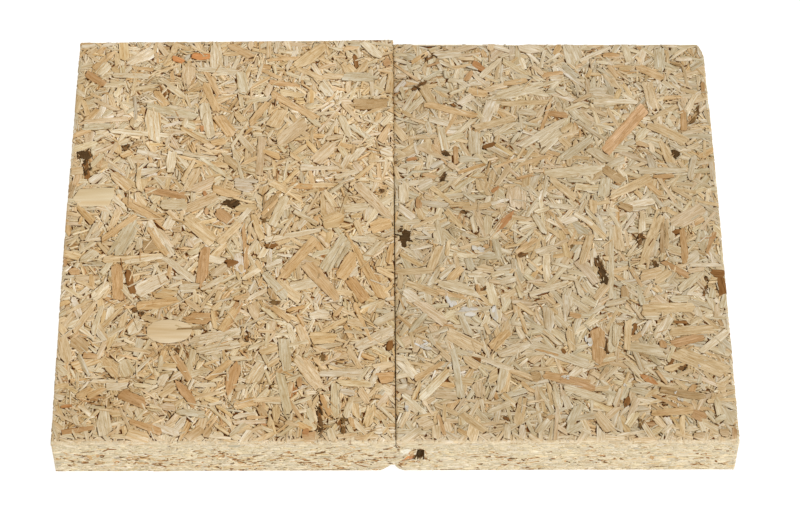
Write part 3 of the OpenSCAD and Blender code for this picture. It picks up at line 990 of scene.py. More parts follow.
NAMED_A = [
    ('knot', 5, 148.3, 5.6, 5.6, 5, 'b'), ('darkbrown', 6.4, 141.5, 6.5, 2.4, 6, ''), ('knot', 69, 121.6, 4.8, 4.4, 85, 'b'), ('knot', 72.2, 121.8, 2.8, 3.2, 85, 'b'),
    ('darkbrown', 23, 152.5, 3.5, 2.5, 10, 'b'), ('darkbrown', 135, 128.5, 2, 2.0, -70, ''), ('drabdark', 84.5, 112.5, 2, 3.0, 90, 'b'), ('darkbrown', 31, 66, 2.5, 3.0, -80, 'b'),
    ('darkbrown', 34, 64, 2.5, 2.5, 84, ''), ('darkbrown', 50, 45.5, 2.5, 2.0, 0, 'b'), ('drabdark', 90, 69.5, 3.5, 3.0, -80, 'b'), ('drabdark', 110, 41.5, 3.5, 2.5, 0, 'l'),
    ('darkbrown', 109.5, 11, 14, 2.0, 2, ''), ('drabdark', 119, 8, 7, 1.2, 0, ''), ('darkbrown', 79, 52, 4.5, 1.2, -8, ''), ('brown', 123.5, 201, 8, 2.0, 6, ''),
    ('brown', 7, 138, 6.5, 2.5, 4, ''), ('brown', 28.5, 80.5, 13, 3.0, 16, ''), ('brown', 71.5, 90, 5.5, 4.0, -80, 't'), ('brown', 88, 99, 5.5, 2.5, -84, ''),
    ('brown', 138, 47.5, 5, 3.0, 2, ''), ('reddish', 58.5, 127, 3, 1.6, 8, ''), ('rust', 111.5, 41.5, 3, 1.6, 10, ''), ('orange', 77.5, 43.5, 6, 0.8, 44, ''),
    ('rust', 0.5, 90.5, 4, 1.4, 4, ''), ('reddish', 56, 163, 3.5, 1.6, 2, ''), ('straw', 136, 5.5, 3.5, 1.6, -34, ''), ('rust', 59.5, 117.5, 4, 1.8, 6, ''),
    ('reddish', 5, 18, 5, 1.6, -88, ''), ('orange', 40, 7, 1.5, 6.5, 80, 't'), ('reddish', 103.5, 5, 3, 3.5, -80, ''), ('orange', 28, 57, 12, 1.2, -32, ''),
    ('rust', 100.5, 29.5, 6.5, 2.5, 0, 'b'), ('drab', 63.5, 5, 5, 3.5, -30, ''), ('drab', 85.5, 15.5, 6, 3.0, 26, ''), ('drab', 88.5, 74, 7, 2.5, 24, ''),
    ('amber', 44, 202, 6, 3.0, 68, ''), ('orange', 4.5, 86, 5, 4.0, -86, ''), ('rust', 137.5, 200, 3.5, 6.0, -78, ''), ('tan', 87, 120, 11.5, 1.8, -38, ''),
    ('orange', 13.5, 43, 6.5, 3.0, 84, ''), ('cream', 134, 6.5, 5, 4.5, 90, 'b'), ('tan', 28.5, 197, 10.5, 2.0, 82, ''), ('tan', 22.5, 36, 11, 2.0, 40, ''),
    ('orange', 111.5, 18.5, 11, 2.5, 24, ''), ('tan', 17, 24.5, 9, 3.0, -60, ''), ('straw', 29.5, 135.5, 12.5, 2.0, 0, ''), ('tan', 12, 24.5, 8, 3.5, -48, ''),
    ('straw', 91.5, 14.5, 8.5, 3.5, 2, 'l'), ('straw', 109.5, 121, 13, 2.5, 4, ''), ('orange', 100, 131, 10, 3.0, 82, ''), ('tan', 92.5, 64, 11, 3.0, 48, ''),
    ('rust', 10.5, 6.5, 14, 2.5, -80, ''), ('tan', 78, 19, 9, 4.0, -74, ''), ('orange', 136.5, 31.5, 6.5, 5.5, -88, ''), ('drab', 58.5, 4.5, 8, 4.5, -44, ''),
    ('rust', 105, 3, 6, 6.0, 84, 't'), ('grey', 125.5, 161, 12, 3.0, 48, ''), ('orange', 92, 188, 15, 2.5, 80, ''), ('cream', 11, 197, 8.5, 4.5, -34, ''),
    ('pale', 127, 102.5, 11.5, 3.5, 86, ''), ('tan', 136.5, 160, 11, 3.5, -24, ''), ('tan', 67.5, 35.5, 13.5, 3.0, -46, ''), ('straw', 139, 188.5, 12, 3.5, -8, ''),
    ('pale', 15.5, 60.5, 16, 2.5, -12, ''), ('straw', 81.5, 109, 15, 3.0, 20, ''), ('tan', 37, 180, 10.5, 4.0, 32, ''), ('straw', 129.5, 12.5, 10.5, 4.0, -12, ''),
    ('tan', 70.5, 61, 13, 3.5, -28, ''), ('cream', 33.5, 92, 17, 2.5, -80, ''), ('cream', 108.5, 63.5, 8.5, 5.0, 90, ''), ('pale', 10, 93.5, 9, 5.0, -48, ''),
    ('rust', 7.5, 191, 12, 4.0, 48, ''), ('cream', 16, 75.5, 10.5, 4.5, -42, ''), ('tan', 126.5, 60, 21, 2.0, 20, ''), ('amber', 54, 203.6, 8.6, 4.4, 86, ''),
    ('grey', 10, 164, 13, 3.5, -88, ''), ('grey', 56.5, 14.5, 13, 3.5, 82, ''), ('pale', 110.5, 185, 10, 5.0, 32, ''), ('rust', 67, 115, 10, 5.0, 42, ''),
    ('pale', 131, 96.5, 13.5, 3.5, -40, ''), ('straw', 10, 62, 17.5, 3.0, -28, ''), ('cream', 31.5, 57, 8.5, 6.0, -36, 'l'), ('orange', 52, 37, 14.5, 3.5, 32, ''),
    ('pale', 23, 193, 17, 3.0, 86, ''), ('tan', 39, 101.5, 18.5, 3.0, 30, ''), ('tan', 67.5, 127.5, 13, 4.0, 68, ''), ('drab', 9, 48.5, 9, 6.0, 48, ''),
    ('tan', 11, 202, 14.5, 3.5, -40, ''), ('straw', 69.5, 105.5, 14.5, 3.5, -38, ''), ('orange', 76.5, 99, 26.5, 2.0, 4, ''), ('orange', 38.5, 8, 15, 3.5, 66, ''),
    ('beige', 12.5, 167.5, 21.5, 2.5, -84, ''), ('drab', 36.5, 98, 7, 8.0, 90, ''), ('pale', 29, 36.5, 9, 6.5, 24, ''), ('rust', 72, 63, 17, 3.5, -24, ''),
    ('tan', 72, 207, 14, 4.0, 60, ''), ('rust', 32.5, 21.5, 12.5, 5.0, 64, ''), ('rust', 54, 24.5, 16, 4.0, 36, 'l'), ('straw', 52.5, 135, 14.5, 4.0, -24, ''),
    ('tan', 59.5, 180.5, 18, 3.5, 20, ''), ('grey', 115.5, 20.5, 17, 3.5, 0, ''), ('orange', 58, 61.5, 11, 6.0, 90, ''), ('pale', 45, 121, 12, 5.5, 90, ''),
    ('tan', 22.5, 109, 20.5, 3.0, -48, ''), ('grey', 89.5, 78.5, 17, 4.0, 38, ''), ('cream', 72, 109.5, 23, 3.0, -34, ''), ('straw', 95.5, 75.5, 14.5, 5.0, 48, ''),
    ('pale', 90.5, 117.5, 17.5, 4.0, -20, ''), ('pale', 61.5, 196, 19.5, 3.5, 84, ''), ('straw', 93, 129.5, 18.5, 4.0, 56, ''), ('drab', 86.5, 120, 15.5, 4.5, -20, 'l'),
    ('cream', 97, 105, 25.5, 3.0, -76, ''), ('tan', 134.5, 110.5, 10, 7.0, -66, ''), ('pale', 66.5, 47, 19, 4.0, -76, ''), ('straw', 89, 168.5, 11, 6.5, -24, ''),
    ('grey', 73, 188.5, 14, 5.0, 12, ''), ('grey', 124.5, 192, 14, 5.0, 88, ''), ('orange', 124.5, 76.5, 14, 5.0, 32, ''), ('tan', 40.5, 69, 19, 5.0, -80, ''),
    ('tan', 66, 164.5, 14, 5.5, 30, ''), ('rust', 41, 127.5, 19, 4.0, 76, ''), ('pale', 21, 10, 12.5, 6.0, 12, ''), ('grey', 94.5, 43, 16.5, 5.0, 4, ''),
    ('beige', 49, 194, 13, 6.0, 0, ''), ('straw', 23, 37.5, 13.5, 6.0, 40, ''), ('rust', 73, 31.5, 17.5, 5.0, -12, 'l'), ('cream', 27.5, 203.5, 13.5, 6.5, -52, ''),
    ('cream', 61, 204.5, 15, 6.0, 4, ''), ('drab', 130, 176.5, 15, 6.0, 90, ''), ('rust', 59, 89, 20, 4.5, -4, ''), ('beige', 110, 149.5, 14.5, 6.0, -40, ''),
    ('tan', 96, 175.5, 26.5, 3.5, 56, ''), ('grey', 94.5, 24, 21.5, 4.0, 12, ''), ('grey', 42, 172.5, 24, 4.0, 74, ''), ('cream', 40, 103, 23, 4.0, 32, ''),
    ('straw', 28.5, 92.5, 26, 3.5, -88, ''), ('orange', 23, 80.5, 19, 5.0, 4, ''), ('cream', 37.5, 79, 15.5, 6.5, -56, ''), ('straw', 114, 112, 11, 9.0, -65, 'b'),
    ('pale', 58, 167.5, 21, 5.0, 10, ''), ('cream', 131.5, 51, 19, 5.5, -62, ''), ('tan', 32, 118.5, 22.5, 5.0, 56, ''), ('cream', 65, 52.5, 22, 5.0, -76, ''),
    ('straw', 103.5, 204, 19, 6.0, -44, ''), ('beige', 131.5, 122.5, 27, 4.5, 38, ''), ('straw', 57, 108, 19, 6.5, 44, ''), ('tan', 99.5, 93, 26.5, 5.0, -36, ''),
    ('tan', 129, 85.5, 32.5, 4.0, 24, ''), ('beige', 104.5, 35, 19.5, 7.0, 36, ''), ('beige', 95.5, 160.5, 18.5, 7.5, -40, ''), ('tan', 109.5, 80.5, 24.5, 6.0, 36, ''),
    ('grey', 115.5, 94.5, 20.5, 7.0, -28, ''), ('grey', 25.5, 103.5, 22, 7.0, -22, 'l'), ('palestripe', 34.5, 166, 23, 7.0, 8, ''), ('palestripe', 10.5, 125, 17.5, 10.5, 90, ''),
    ('buff', 46, 55, 20, 12.0, -90, 'o'),
]
NAMED_B = [
    ('knot', 21.5, 149, 2.5, 3.5, 0, 'b'), ('knot', 122.5, 148.5, 4, 4.0, 0, 'b'), ('knot', 3.5, 103, 5, 7.5, 90, 'b'), ('knot', 29, 116.5, 3, 2.5, -70, 'b'),
    ('knot', 85.5, 90, 5, 3.0, 16, ''), ('knot', 87.5, 83, 9, 3.0, 12, ''), ('darkbrown', 10.5, 187, 7, 1.1, -52, ''), ('darkbrown', 15.6, 203.2, 4.6, 1.1, -62, ''), ('rust', 17.0, 199.2, 6.4, 1.0, -68, ''), ('knot', 12.2, 204.0, 2.6, 0.9, -40, ''), ('drabdark', 132, 169, 11.5, 1.8, -20, ''),
    ('darkbrown', 1.5, 107.5, 1.5, 3.5, 74, ''), ('darkbrown', 20.5, 136, 4.5, 2.0, -22, ''), ('darkbrown', 53, 94, 3.5, 2.5, -75, 'b'), ('darkbrown', 36.5, 76.5, 3, 1.2, -64, ''),
    ('drabdark', 74.5, 98.5, 2, 2.0, -75, 'b'), ('darkbrown', 104, 102, 6, 2.5, -16, 'l'), ('darkbrown', 130.5, 81.5, 2, 1.6, 0, 'b'), ('darkbrown', 130.5, 77, 2.5, 1.2, -4, ''),
    ('darkbrown', 129.5, 73.5, 2.5, 1.0, -2, ''), ('darkbrown', 110, 89, 3.5, 2.0, 4, 'l'), ('darkbrown', 44.5, 11.5, 2, 2.0, 60, 't'), ('darkbrown', 118, 36, 3.5, 2.0, -80, ''),
    ('darkbrown', 93.5, 18, 2, 1.0, 0, ''), ('drabdark', 99, 9, 4.5, 1.4, -8, ''), ('darkbrown', 87, 47.5, 6.5, 0.8, -2, ''), ('brown', 40.5, 153, 6, 2.5, -72, ''),
    ('brown', 136, 84, 6, 4.0, 84, ''), ('brown', 137, 78, 10.5, 4.5, 10, 't'), ('brown', 119.5, 106, 3.5, 2.5, -84, ''), ('brown', 32.5, 41, 4.5, 2.0, 64, 't'),
    ('brown', 69, 44.5, 3, 1.8, 18, ''), ('brown', 99, 55.5, 6, 1.4, -14, ''), ('brown', 94, 19.5, 6, 2.5, -24, 'l'), ('brown', 118.5, 59, 6, 1.6, 84, ''),
    ('orange', 38, 98.5, 2.5, 2.5, 76, ''), ('reddish', 42.5, 129, 5, 1.6, -48, ''), ('orange', 34, 76.5, 4.5, 2.0, 0, ''), ('reddish', 6.5, 145.5, 5, 2.0, -74, ''),
    ('orange', 62, 44, 10.5, 1.0, 72, ''), ('rust', 137, 4, 5.5, 2.0, -4, ''), ('straw', 4, 109, 4, 3.0, 0, ''),
    ('orange', 56, 136, 9, 1.4, -72, ''), ('rust', 110.5, 48, 4, 3.0, 4, ''), ('orange', 121.5, 26, 4, 3.0, -26, ''), ('straw', 116, 118, 3, 4.5, 0, ''),
    ('orange', 74.5, 62.5, 5.5, 2.5, 76, ''), ('cream', 35, 96.5, 5, 3.0, 90, 'b'), ('rust', 32.5, 192.5, 7, 2.5, -24, ''), ('drab', 133, 4, 4, 4.0, 90, ''),
    ('drab', 122.5, 3, 4.5, 4.0, 72, ''), ('rust', 137, 185, 8, 2.0, 0, ''), ('rust', 9.5, 121, 5.5, 3.0, 0, 'b'), ('cream', 119.5, 6.5, 5.5, 3.5, 90, 'b'),
    ('orange', 109.5, 20, 12.5, 1.6, 60, ''), ('tan', 101, 82.5, 11.5, 1.8, 24, ''), ('orange', 96.5, 204.5, 8, 2.5, 90, ''), ('tan', 123, 180, 8, 2.5, -84, ''),
    ('drab', 96, 75, 6, 3.5, 0, ''), ('orange', 17.5, 8.5, 10, 2.0, 12, ''), ('reddish', 37, 198, 6.5, 3.5, 56, ''), ('cream', 44.5, 5, 7, 3.0, -6, ''),
    ('cream', 50.5, 5, 7, 3.0, -12, ''), ('drab', 57, 32, 4.5, 5.0, -80, 'b'), ('orange', 26, 148, 10.5, 2.0, 0, ''), ('drab', 99, 119.5, 7, 3.5, 60, ''),
    ('orange', 116, 136, 10, 2.5, -86, ''), ('cream', 113.5, 58, 12, 2.0, -30, ''), ('reddish', 103.5, 30.5, 9, 3.0, 60, 'l'), ('straw', 133.5, 25.5, 3.5, 7.5, -80, ''),
    ('orange', 69.5, 193.5, 10, 2.5, -76, ''), ('rust', 134, 100.5, 12.5, 2.0, -22, ''), ('rust', 71.5, 170.5, 9, 3.0, 80, ''), ('cream', 131, 88.5, 14.5, 2.0, 90, ''),
    ('straw', 15.5, 5, 7, 4.0, 4, ''), ('straw', 12, 158, 12.5, 2.5, -84, ''), ('orange', 66.5, 171, 19.5, 1.6, -16, ''), ('tan', 69.5, 111, 14.5, 2.0, 32, ''),
    ('tan', 53, 189, 11.5, 3.0, -76, ''), ('reddish', 46.2, 111.5, 15, 3.2, -35, 'l'), ('straw', 24.5, 113, 12, 3.0, 36, ''), ('tan', 55, 99, 12, 3.0, -52, ''),
    ('cream', 89.5, 205, 17, 2.0, -60, ''), ('drab', 113.5, 103, 17, 2.0, -4, ''), ('cream', 41.5, 17, 11.5, 3.0, -64, ''), ('orange', 127, 167, 12, 3.0, -4, ''),
    ('rust', 123.5, 13, 6, 6.0, 50, ''), ('cream', 63.5, 96.5, 9.5, 4.0, -68, ''), ('straw', 34.5, 119.5, 13.5, 3.0, -80, ''), ('straw', 41.5, 135, 13.5, 3.0, -12, ''),
    ('cream', 110.5, 57, 14, 3.0, -30, ''), ('straw', 118.5, 171.5, 15.5, 2.5, -60, ''), ('tan', 13, 35, 15.5, 2.5, -56, ''), ('straw', 72, 51, 13, 3.0, 4, ''),
    ('tan', 36, 183, 9.5, 4.5, 76, ''), ('rust', 118, 86.5, 14, 3.0, 56, ''), ('straw', 38.5, 131, 12, 3.5, 24, ''), ('beige', 11, 9.5, 6, 7.0, -64, ''),
    ('cream', 3, 127, 11, 4.5, 0, ''), ('grey', 90, 130, 10, 5.0, -6, ''), ('straw', 96, 52.5, 16, 3.0, -4, ''), ('beige', 33, 26, 9, 6.0, 0, 'b'), ('straw', 84, 9.5, 11, 5.0, 32, ''),
    ('tan', 42.5, 50.5, 12, 4.5, -40, ''), ('cream', 132, 49, 16.5, 3.5, -48, ''), ('straw', 118, 149.5, 13.5, 4.0, 16, ''), ('rust', 121, 50, 15, 4.0, -72, ''),
    ('drab', 94, 137, 12.5, 4.5, 48, ''), ('cream', 44, 109.5, 14.5, 4.0, -32, ''), ('straw', 50, 15, 14, 4.0, -10, ''), ('straw', 72, 129.5, 16, 4.0, 44, ''),
    ('straw', 57, 177, 22, 3.0, -88, ''), ('cream', 64, 76.5, 19.5, 3.0, -72, ''), ('orange', 122.5, 98.5, 19.5, 3.0, 0, ''), ('tan', 113.5, 194.5, 14.5, 4.5, 60, ''),
    ('cream', 97.5, 177.5, 20.5, 3.0, 90, ''), ('tan', 112, 14.5, 18.5, 3.5, -84, ''), ('pale', 76.5, 23.5, 18, 4.0, 70, ''), ('pale', 90.5, 51.5, 14.5, 5.0, -8, ''),
    ('grey', 131.5, 101.5, 10, 7.0, -5, 'b'), ('grey', 118.5, 201.5, 14, 5.0, 0, ''), ('pale', 115.5, 139, 21.5, 3.5, 90, ''), ('straw', 43, 165.5, 19.5, 4.0, -72, ''),
    ('drab', 117.5, 23.5, 20, 4.0, 80, ''), ('rust', 74, 28.5, 16, 5.0, 66, ''), ('grey', 24.5, 33.5, 25.5, 3.0, 6, ''), ('straw', 113, 181, 16, 5.0, 8, ''),
    ('grey', 78.5, 151, 19, 4.5, -48, ''), ('straw', 123, 55, 19, 4.5, -86, ''), ('palestripe', 15, 28, 20, 4.0, -40, ''), ('cream', 48.5, 45.5, 15.5, 5.5, -64, ''),
    ('orange', 69.5, 30.5, 20, 4.5, 76, ''), ('tan', 24, 173, 25, 3.5, 72, ''), ('pale', 67.5, 157, 13.5, 7.0, -44, ''), ('pale', 79, 205, 13.5, 7.0, 12, ''),
    ('straw', 119.5, 160, 20.5, 5.0, 58, ''), ('straw', 101.5, 130.5, 21.5, 4.5, -60, ''), ('pale', 91, 89.5, 38.5, 2.5, -2, ''), ('beige', 52, 125, 13, 8.0, 0, 'b'),
    ('orange', 83.5, 47.5, 19, 6.0, 0, ''), ('straw', 27.5, 49.5, 17.5, 7.0, 56, ''), ('straw', 114.5, 66.5, 23.5, 5.0, 90, ''), ('straw', 108.5, 102, 28.5, 4.5, -20, ''),
    ('beige', 125.5, 114, 18, 7.0, -58, ''), ('pale', 67, 43, 27.5, 5.0, 68, ''), ('pale', 55, 184, 23, 6.5, -70, ''), ('straw', 125.5, 39, 24, 7.0, 64, ''),
    ('salmon', 100.5, 162, 32.5, 6.0, -38, ''),
]
RESIDUE_B = [
    (22, 69.5, 5.5, 4, 20), (29, 65.8, 8, 4, 65), (40.3, 65.5, 10, 4, 8), (10.5, 47.4, 7.5, 3, 80), (35, 97.2, 6, 3.5, 72), (3.5, 16.5, 3, 2.2, 20), (69, 32, 4, 2, 70), (80, 50, 7, 3.4, 10),
    (114, 24, 1.6, 1.4, 0), (116, 20.5, 3, 1.6, 60), (125, 37, 1.4, 1.2, 0), (93.5, 28, 1.8, 1.6, 0),
]
DASHES_A = [
    (14.4, 15.1, 7.3, 0.6, 8, 'darkbrown'), (27.7, 10.7, 5.3, 0.7, 12, 'darkbrown'), (21.6, 16.0, 3.0, 0.9, 36, 'brown'), (30.5, 21.7, 2.1, 0.9, 18, 'rust'),
    (36.2, 20.6, 7.5, 0.4, 6, 'orange'), (44.1, 15.1, 1.7, 1.0, 4, 'brown'), (39.8, 12.2, 3.1, 0.9, 20, 'orange'), (46.3, 11.7, 5.8, 0.6, 6, 'orange'),
    (60.8, 10.5, 5.9, 1.0, 10, 'rust'), (60.8, 14.2, 3.1, 1.3, 20, 'drab'), (68.3, 15.1, 1.8, 1.1, -36, 'brown'), (83.5, 11.8, 2.8, 0.6, 12, 'drabdark'),
    (42.6, 4.5, 4.1, 0.6, 20, 'drabdark'), (4.8, 14.2, 4.9, 0.7, -50, 'rust'), (14.7, 10.9, 3.6, 1.7, -66, 'orange'), (12.4, 6.4, 3.2, 0.6, 4, 'brown'),
    (20.0, 6.7, 1.5, 1.4, -22, 'drab'), (24.1, 4.8, 4.0, 0.6, -4, 'orange'), (53.2, 9.7, 2.5, 0.6, 20, 'drab'), (57.8, 7.6, 3.0, 0.7, 16, 'orange'), (66.6, 4.5, 3.0, 1.4, 10, 'straw'),
    (72.7, 1.7, 1.7, 1.0, 0, 'brown'), (30.3, 6.9, 3.7, 0.4, 16, 'rust'), (48.5, 9.0, 1.8, 0.6, 16, 'rust'), (25.6, 0.2, 5.8, 0.4, 0, 'orange'), (84.4, 12.2, 5.0, 0.6, 10, 'drabdark'),
    (86.4, 14.4, 3.0, 0.5, 16, 'drabdark'), (109.6, 13.8, 4.8, 0.9, 16, 'darkbrown'), (113.1, 17.6, 3.1, 0.7, 16, 'brown'), (121.6, 20.8, 2.2, 1.0, 58, 'brown'),
    (125.2, 15.4, 1.4, 1.3, -38, 'brown'), (121.1, 13.4, 5.3, 0.6, 30, 'rust'), (135.7, 10.2, 1.9, 0.9, -72, 'brown'), (136.7, 9.5, 1.2, 0.9, -62, 'darkbrown'),
    (126.5, 3.8, 5.6, 0.6, -22, 'brown'), (102.7, 9.4, 2.4, 0.7, -22, 'rust'), (99.6, 14.6, 1.4, 0.6, -8, 'rust'), (82.8, 21.9, 2.4, 1.0, -64, 'orange'),
    (99.0, 7.3, 5.8, 0.4, 2, 'orange'), (107.8, 3.5, 4.8, 0.5, 14, 'rust'), (112.7, 4.5, 3.3, 0.7, -86, 'rust'), (73.0, 3.7, 2.0, 1.3, -34, 'rust'), (80.3, 3.5, 8.7, 0.4, -2, 'orange'),
    (130.6, 22.5, 1.5, 0.9, -12, 'drab'),
]
DASHES_B = [
    (8.8, 20.1, 1.8, 0.9, 18, 'brown'), (32.7, 12.5, 10.4, 0.4, 6, 'orange'), (31.9, 11.0, 4.0, 0.6, 0, 'brown'), (43.7, 10.8, 4.7, 0.6, -8, 'rust'), (42.8, 8.7, 1.4, 1.1, 8, 'orange'),
    (55.1, 6.2, 6.5, 0.7, 16, 'rust'), (57.3, 6.7, 1.6, 0.7, 28, 'brown'), (63.4, 8.9, 2.5, 1.1, -20, 'brown'), (66.3, 11.6, 1.6, 0.9, 28, 'brown'), (62.5, 14.3, 1.2, 0.9, -40, 'brown'),
    (15.6, 3.5, 1.7, 0.7, 0, 'rust'), (17.4, 7.3, 1.8, 0.9, 10, 'brown'), (26.9, 1.2, 4.2, 0.6, -16, 'drab'), (43.8, 0.4, 4.1, 0.4, -2, 'drab'), (54.3, 0.9, 4.1, 0.6, -4, 'brown'),
    (38.3, 8.1, 1.3, 0.7, -60, 'rust'), (16.7, 14.3, 1.7, 0.9, 10, 'rust'), (21.4, 0.6, 5.8, 0.4, -2, 'drabdark'), (77.2, 11.6, 2.3, 1.3, 14, 'orange'),
    (78.5, 14.8, 4.6, 0.9, 0, 'rust'), (79.2, 7.4, 1.7, 0.9, -16, 'brown'), (81.3, 5.9, 1.4, 0.7, -50, 'brown'), (88.8, 9.0, 1.5, 1.0, 46, 'brown'), (88.6, 8.1, 2.9, 0.7, 10, 'orange'),
    (99.1, 13.2, 1.0, 0.9, -26, 'brown'), (104.0, 9.5, 3.9, 1.6, -78, 'rust'), (103.9, 10.1, 3.4, 0.9, 4, 'orange'), (111.0, 11.9, 3.3, 0.7, 20, 'brown'),
    (114.2, 9.2, 1.8, 1.1, -14, 'drab'), (122.4, 12.5, 1.5, 1.0, -12, 'brown'), (134.7, 14.5, 1.2, 0.9, 26, 'brown'), (130.6, 6.6, 2.5, 1.3, -62, 'brown'),
    (135.0, 5.8, 3.3, 1.0, 34, 'rust'), (107.7, 2.6, 9.2, 0.6, 6, 'darkbrown'), (100.4, 17.7, 2.1, 0.4, -12, 'brown'), (96.7, 8.7, 2.4, 0.6, 22, 'rust'),
    (119.7, 12.4, 2.9, 1.4, 10, 'beige'), (123.2, 8.9, 5.2, 0.5, 6, 'rust'), (94.5, 2.2, 3.5, 0.4, 4, 'rust'), (136.9, 13.8, 1.0, 0.9, 0, 'rust'), (127.4, 2.4, 1.0, 0.7, -42, 'drab'),
]

# the torn wood round the joint, on the near cut: x, z, length, width, turn up from level, tone
JOINT_A = [
    (144.6, 15.2, 5.9, 3.30, 38, 'white'), (143.1, 14.9, 3.2, 2.20, 27, 'white'), (142.8, 12.5, 3.2, 1.60, 34, 'cream'),
    (146.7, 14.1, 3.5, 1.50, 63, 'tan'), (146.0, 13.5, 2.8, 0.80, 71, 'ember'), (147.7, 15.8, 2.3, 0.70, 27, 'brown'),
    (145.2, 10.0, 3.8, 1.90, 65, 'amber'), (146.5, 9.7, 3.6, 1.30, 72, 'ember'), (144.0, 8.3, 3.0, 1.10, 52, 'ember'),
    (146.0, 8.1, 2.6, 1.20, 39, 'reddish'), (147.5, 11.0, 3.3, 1.10, 78, 'brown'), (148.1, 10.6, 3.8, 1.70, 71, 'darkbrown'),
    (142.9, 7.3, 2.4, 0.60, 50, 'brown'), (146.9, 11.9, 4.5, 1.50, 74, 'rust'), (144.6, 11.1, 2.8, 1.10, 50, 'beige'),
    (138.4, 17.5, 2.8, 0.55, 43, 'reddish'), (137.2, 16.6, 1.9, 0.60, 39, 'brown'), (139.9, 18.9, 2.1, 0.50, 46, 'brown'),
    (139.4, 17.9, 2.4, 0.40, -45, 'cream'), (136.2, 10.0, 1.7, 0.75, -16, 'brown'), (136.1, 10.1, 1.7, 0.60, -67, 'rust'),
]
JOINT_B = [
    (0.1, 18.6, 3.0, 0.50, -56, 'brown'), (-0.6, 17.6, 2.0, 0.70, -73, 'darkbrown'), (0.8, 17.5, 1.3, 0.50, -46, 'brown'),
    (9.0, 16.5, 2.9, 0.50, 3, 'brown'), (11.2, 13.8, 4.0, 0.50, -74, 'rust'), (11.2, 9.5, 2.1, 1.10, -62, 'brown'),
    (11.4, 10.9, 2.1, 0.50, -76, 'tan'), (12.7, 7.9, 1.0, 0.80, -50, 'brown'), (7.8, 7.5, 2.6, 0.50, 58, 'brown'),
    (8.7, 6.7, 1.4, 0.60, -51, 'rust'), (1.1, 5.6, 2.9, 0.75, -37, 'brown'), (1.1, 3.0, 1.7, 0.50, -49, 'brown'),
    (0.3, 4.5, 2.6, 0.60, -72, 'darkbrown'), (2.2, 6.6, 2.1, 1.00, 41, 'tan'), (3.1, 5.1, 1.5, 0.60, 48, 'brown'),
    (3.2, 4.0, 2.8, 0.90, 27, 'straw'), (15.7, 3.1, 2.1, 0.50, 8, 'rust'),
]
# fibres that cross the mouth of the hole
JOINT_OVER = [
    (7.3, 9.2, 2.7, 0.62, 83, 'pale'), (7.0, 9.3, 1.4, 0.50, 63, 'straw'), (9.6, 9.2, 2.5, 0.60, 78, 'pale'),
    (8.2, 8.7, 1.4, 0.45, 81, 'cream'), (8.8, 8.9, 2.2, 0.40, 84, 'tan'), (10.3, 10.1, 3.3, 0.40, 86, 'straw'),
    (7.8, 13.7, 3.9, 0.36, 88, 'tan'), (9.3, 10.3, 2.0, 0.30, 86, 'brown'),
]

if not MARKS_FROM_PHOTO:
    NAMED_A = NAMED_B = RESIDUE_B = DASHES_A = DASHES_B = JOINT_A = JOINT_B = JOINT_OVER = []

# ---------------------------------------------------------------- the faces of the two boards
r_a = np.random.default_rng(11)
r_b = np.random.default_rng(23)
r_e = np.random.default_rng(37)
r_u = np.random.default_rng(53)


def front_border():
    return Border((-0.12, 0.08), reach=3.6, drop=0.8, fade=0.8)


def seam_border():
    # toward the far end the two boards touch
    # tone: painted shade on the strands beside the seam, where the rolled arrises turn from the light; the walls along
    # it keep their dark painted-shade foot
    return Border((-0.12, 0.0), reach=0.9, drop=0.14, bands=1, tone=(0.78, 0.70, 0.58), more=lambda a, b: 0.17 * min(1.0, max(0.0, (b - 18) / 14)))


def outer_border(low=-0.12):
    return Border((low, 0.14), reach=1.1, drop=0.42)


def worn_a(y):
    """How far the outer edge of the tongue panel is worn in."""
    s = y - YF
    return 0.7 * max(0.0, 1 - s / 85.0) + 0.3 * max(0.0, (s - 120.0) / 93.0)


def worn_b(y):
    """How far the outer edge of the groove panel is worn in."""
    return 0.75 * max(0.0, 1 - (YF + LEN_B1 - y) / 75.0)


def in_a(x, y):
    return x + worn_a(y) * max(0.0, 1 - (x - X0) / 30.0)


def in_b(x, y):
    return x - worn_b(y) * max(0.0, 1 - (X1 - x) / 30.0)


top_place_a = lambda a, b, h: (in_a(a, b), b, T + h)
top_place_b = lambda a, b, h: (in_b(a, b), b, T + h)
bottom_place = lambda a, b, h: (in_b(in_a(a, -b), -b), -b, 0.08 - h)
front_place = lambda a, b, h: (in_a(a, YF), YF - h, b)
back_place_a = lambda a, b, h: (in_a(-a, back_a(-a)), back_a(-a) + h, b)
back_place_b = lambda a, b, h: (in_b(-a, back_b(-a)), back_b(-a) + h, b)
left_place = lambda a, b, h: (X0 + worn_a(-a) - h, -a, b)
right_place = lambda a, b, h: (X1 - worn_b(a) + h, a, b)

FY = YF + 0.12
top_a = Face(
    [(X0, FY), (SL, FY), (SL, back_a(SL)), (X0, back_a(X0))],
    [front_border(), seam_border(), outer_border(-0.2), outer_border()],
    top_place_a,
    tint=(0.985, 1.01, 1.07),
)
top_b = Face(
    [(SR, FY), (X1, FY), (X1, YF + LEN_B1 - CORNER_L), (X1 - CORNER_W, YF + LEN_B1), (SR, back_b(SR))],
    [front_border(), outer_border(), outer_border(-0.4), outer_border(-0.2), seam_border()],
    top_place_b,
    tint=(0.878, 0.908, 0.975),
    soft=0.46,
)
for x0, x1, at, d in ((6.6, 22.4, 0.62, 2.6), (57.0, 60.5, 0.4, 0.5), (95.0, 99.5, 0.5, 0.6), (112.0, 116.0, 0.5, 0.5)):  # dents in the far edge
    y0, y1, xm = back_b(SR + x0), back_b(SR + x1), x0 + (x1 - x0) * at
    top_b.reserve([(SR + x0, y0 + 0.5), (SR + x0 + 0.25 * (xm - x0), y0 - 0.3 * d), (SR + xm, (y0 + y1) / 2 - d), (SR + xm + 0.35 * (x1 - xm), y1 - 0.75 * d), (SR + x1, y1 + 0.5)], keep=True)
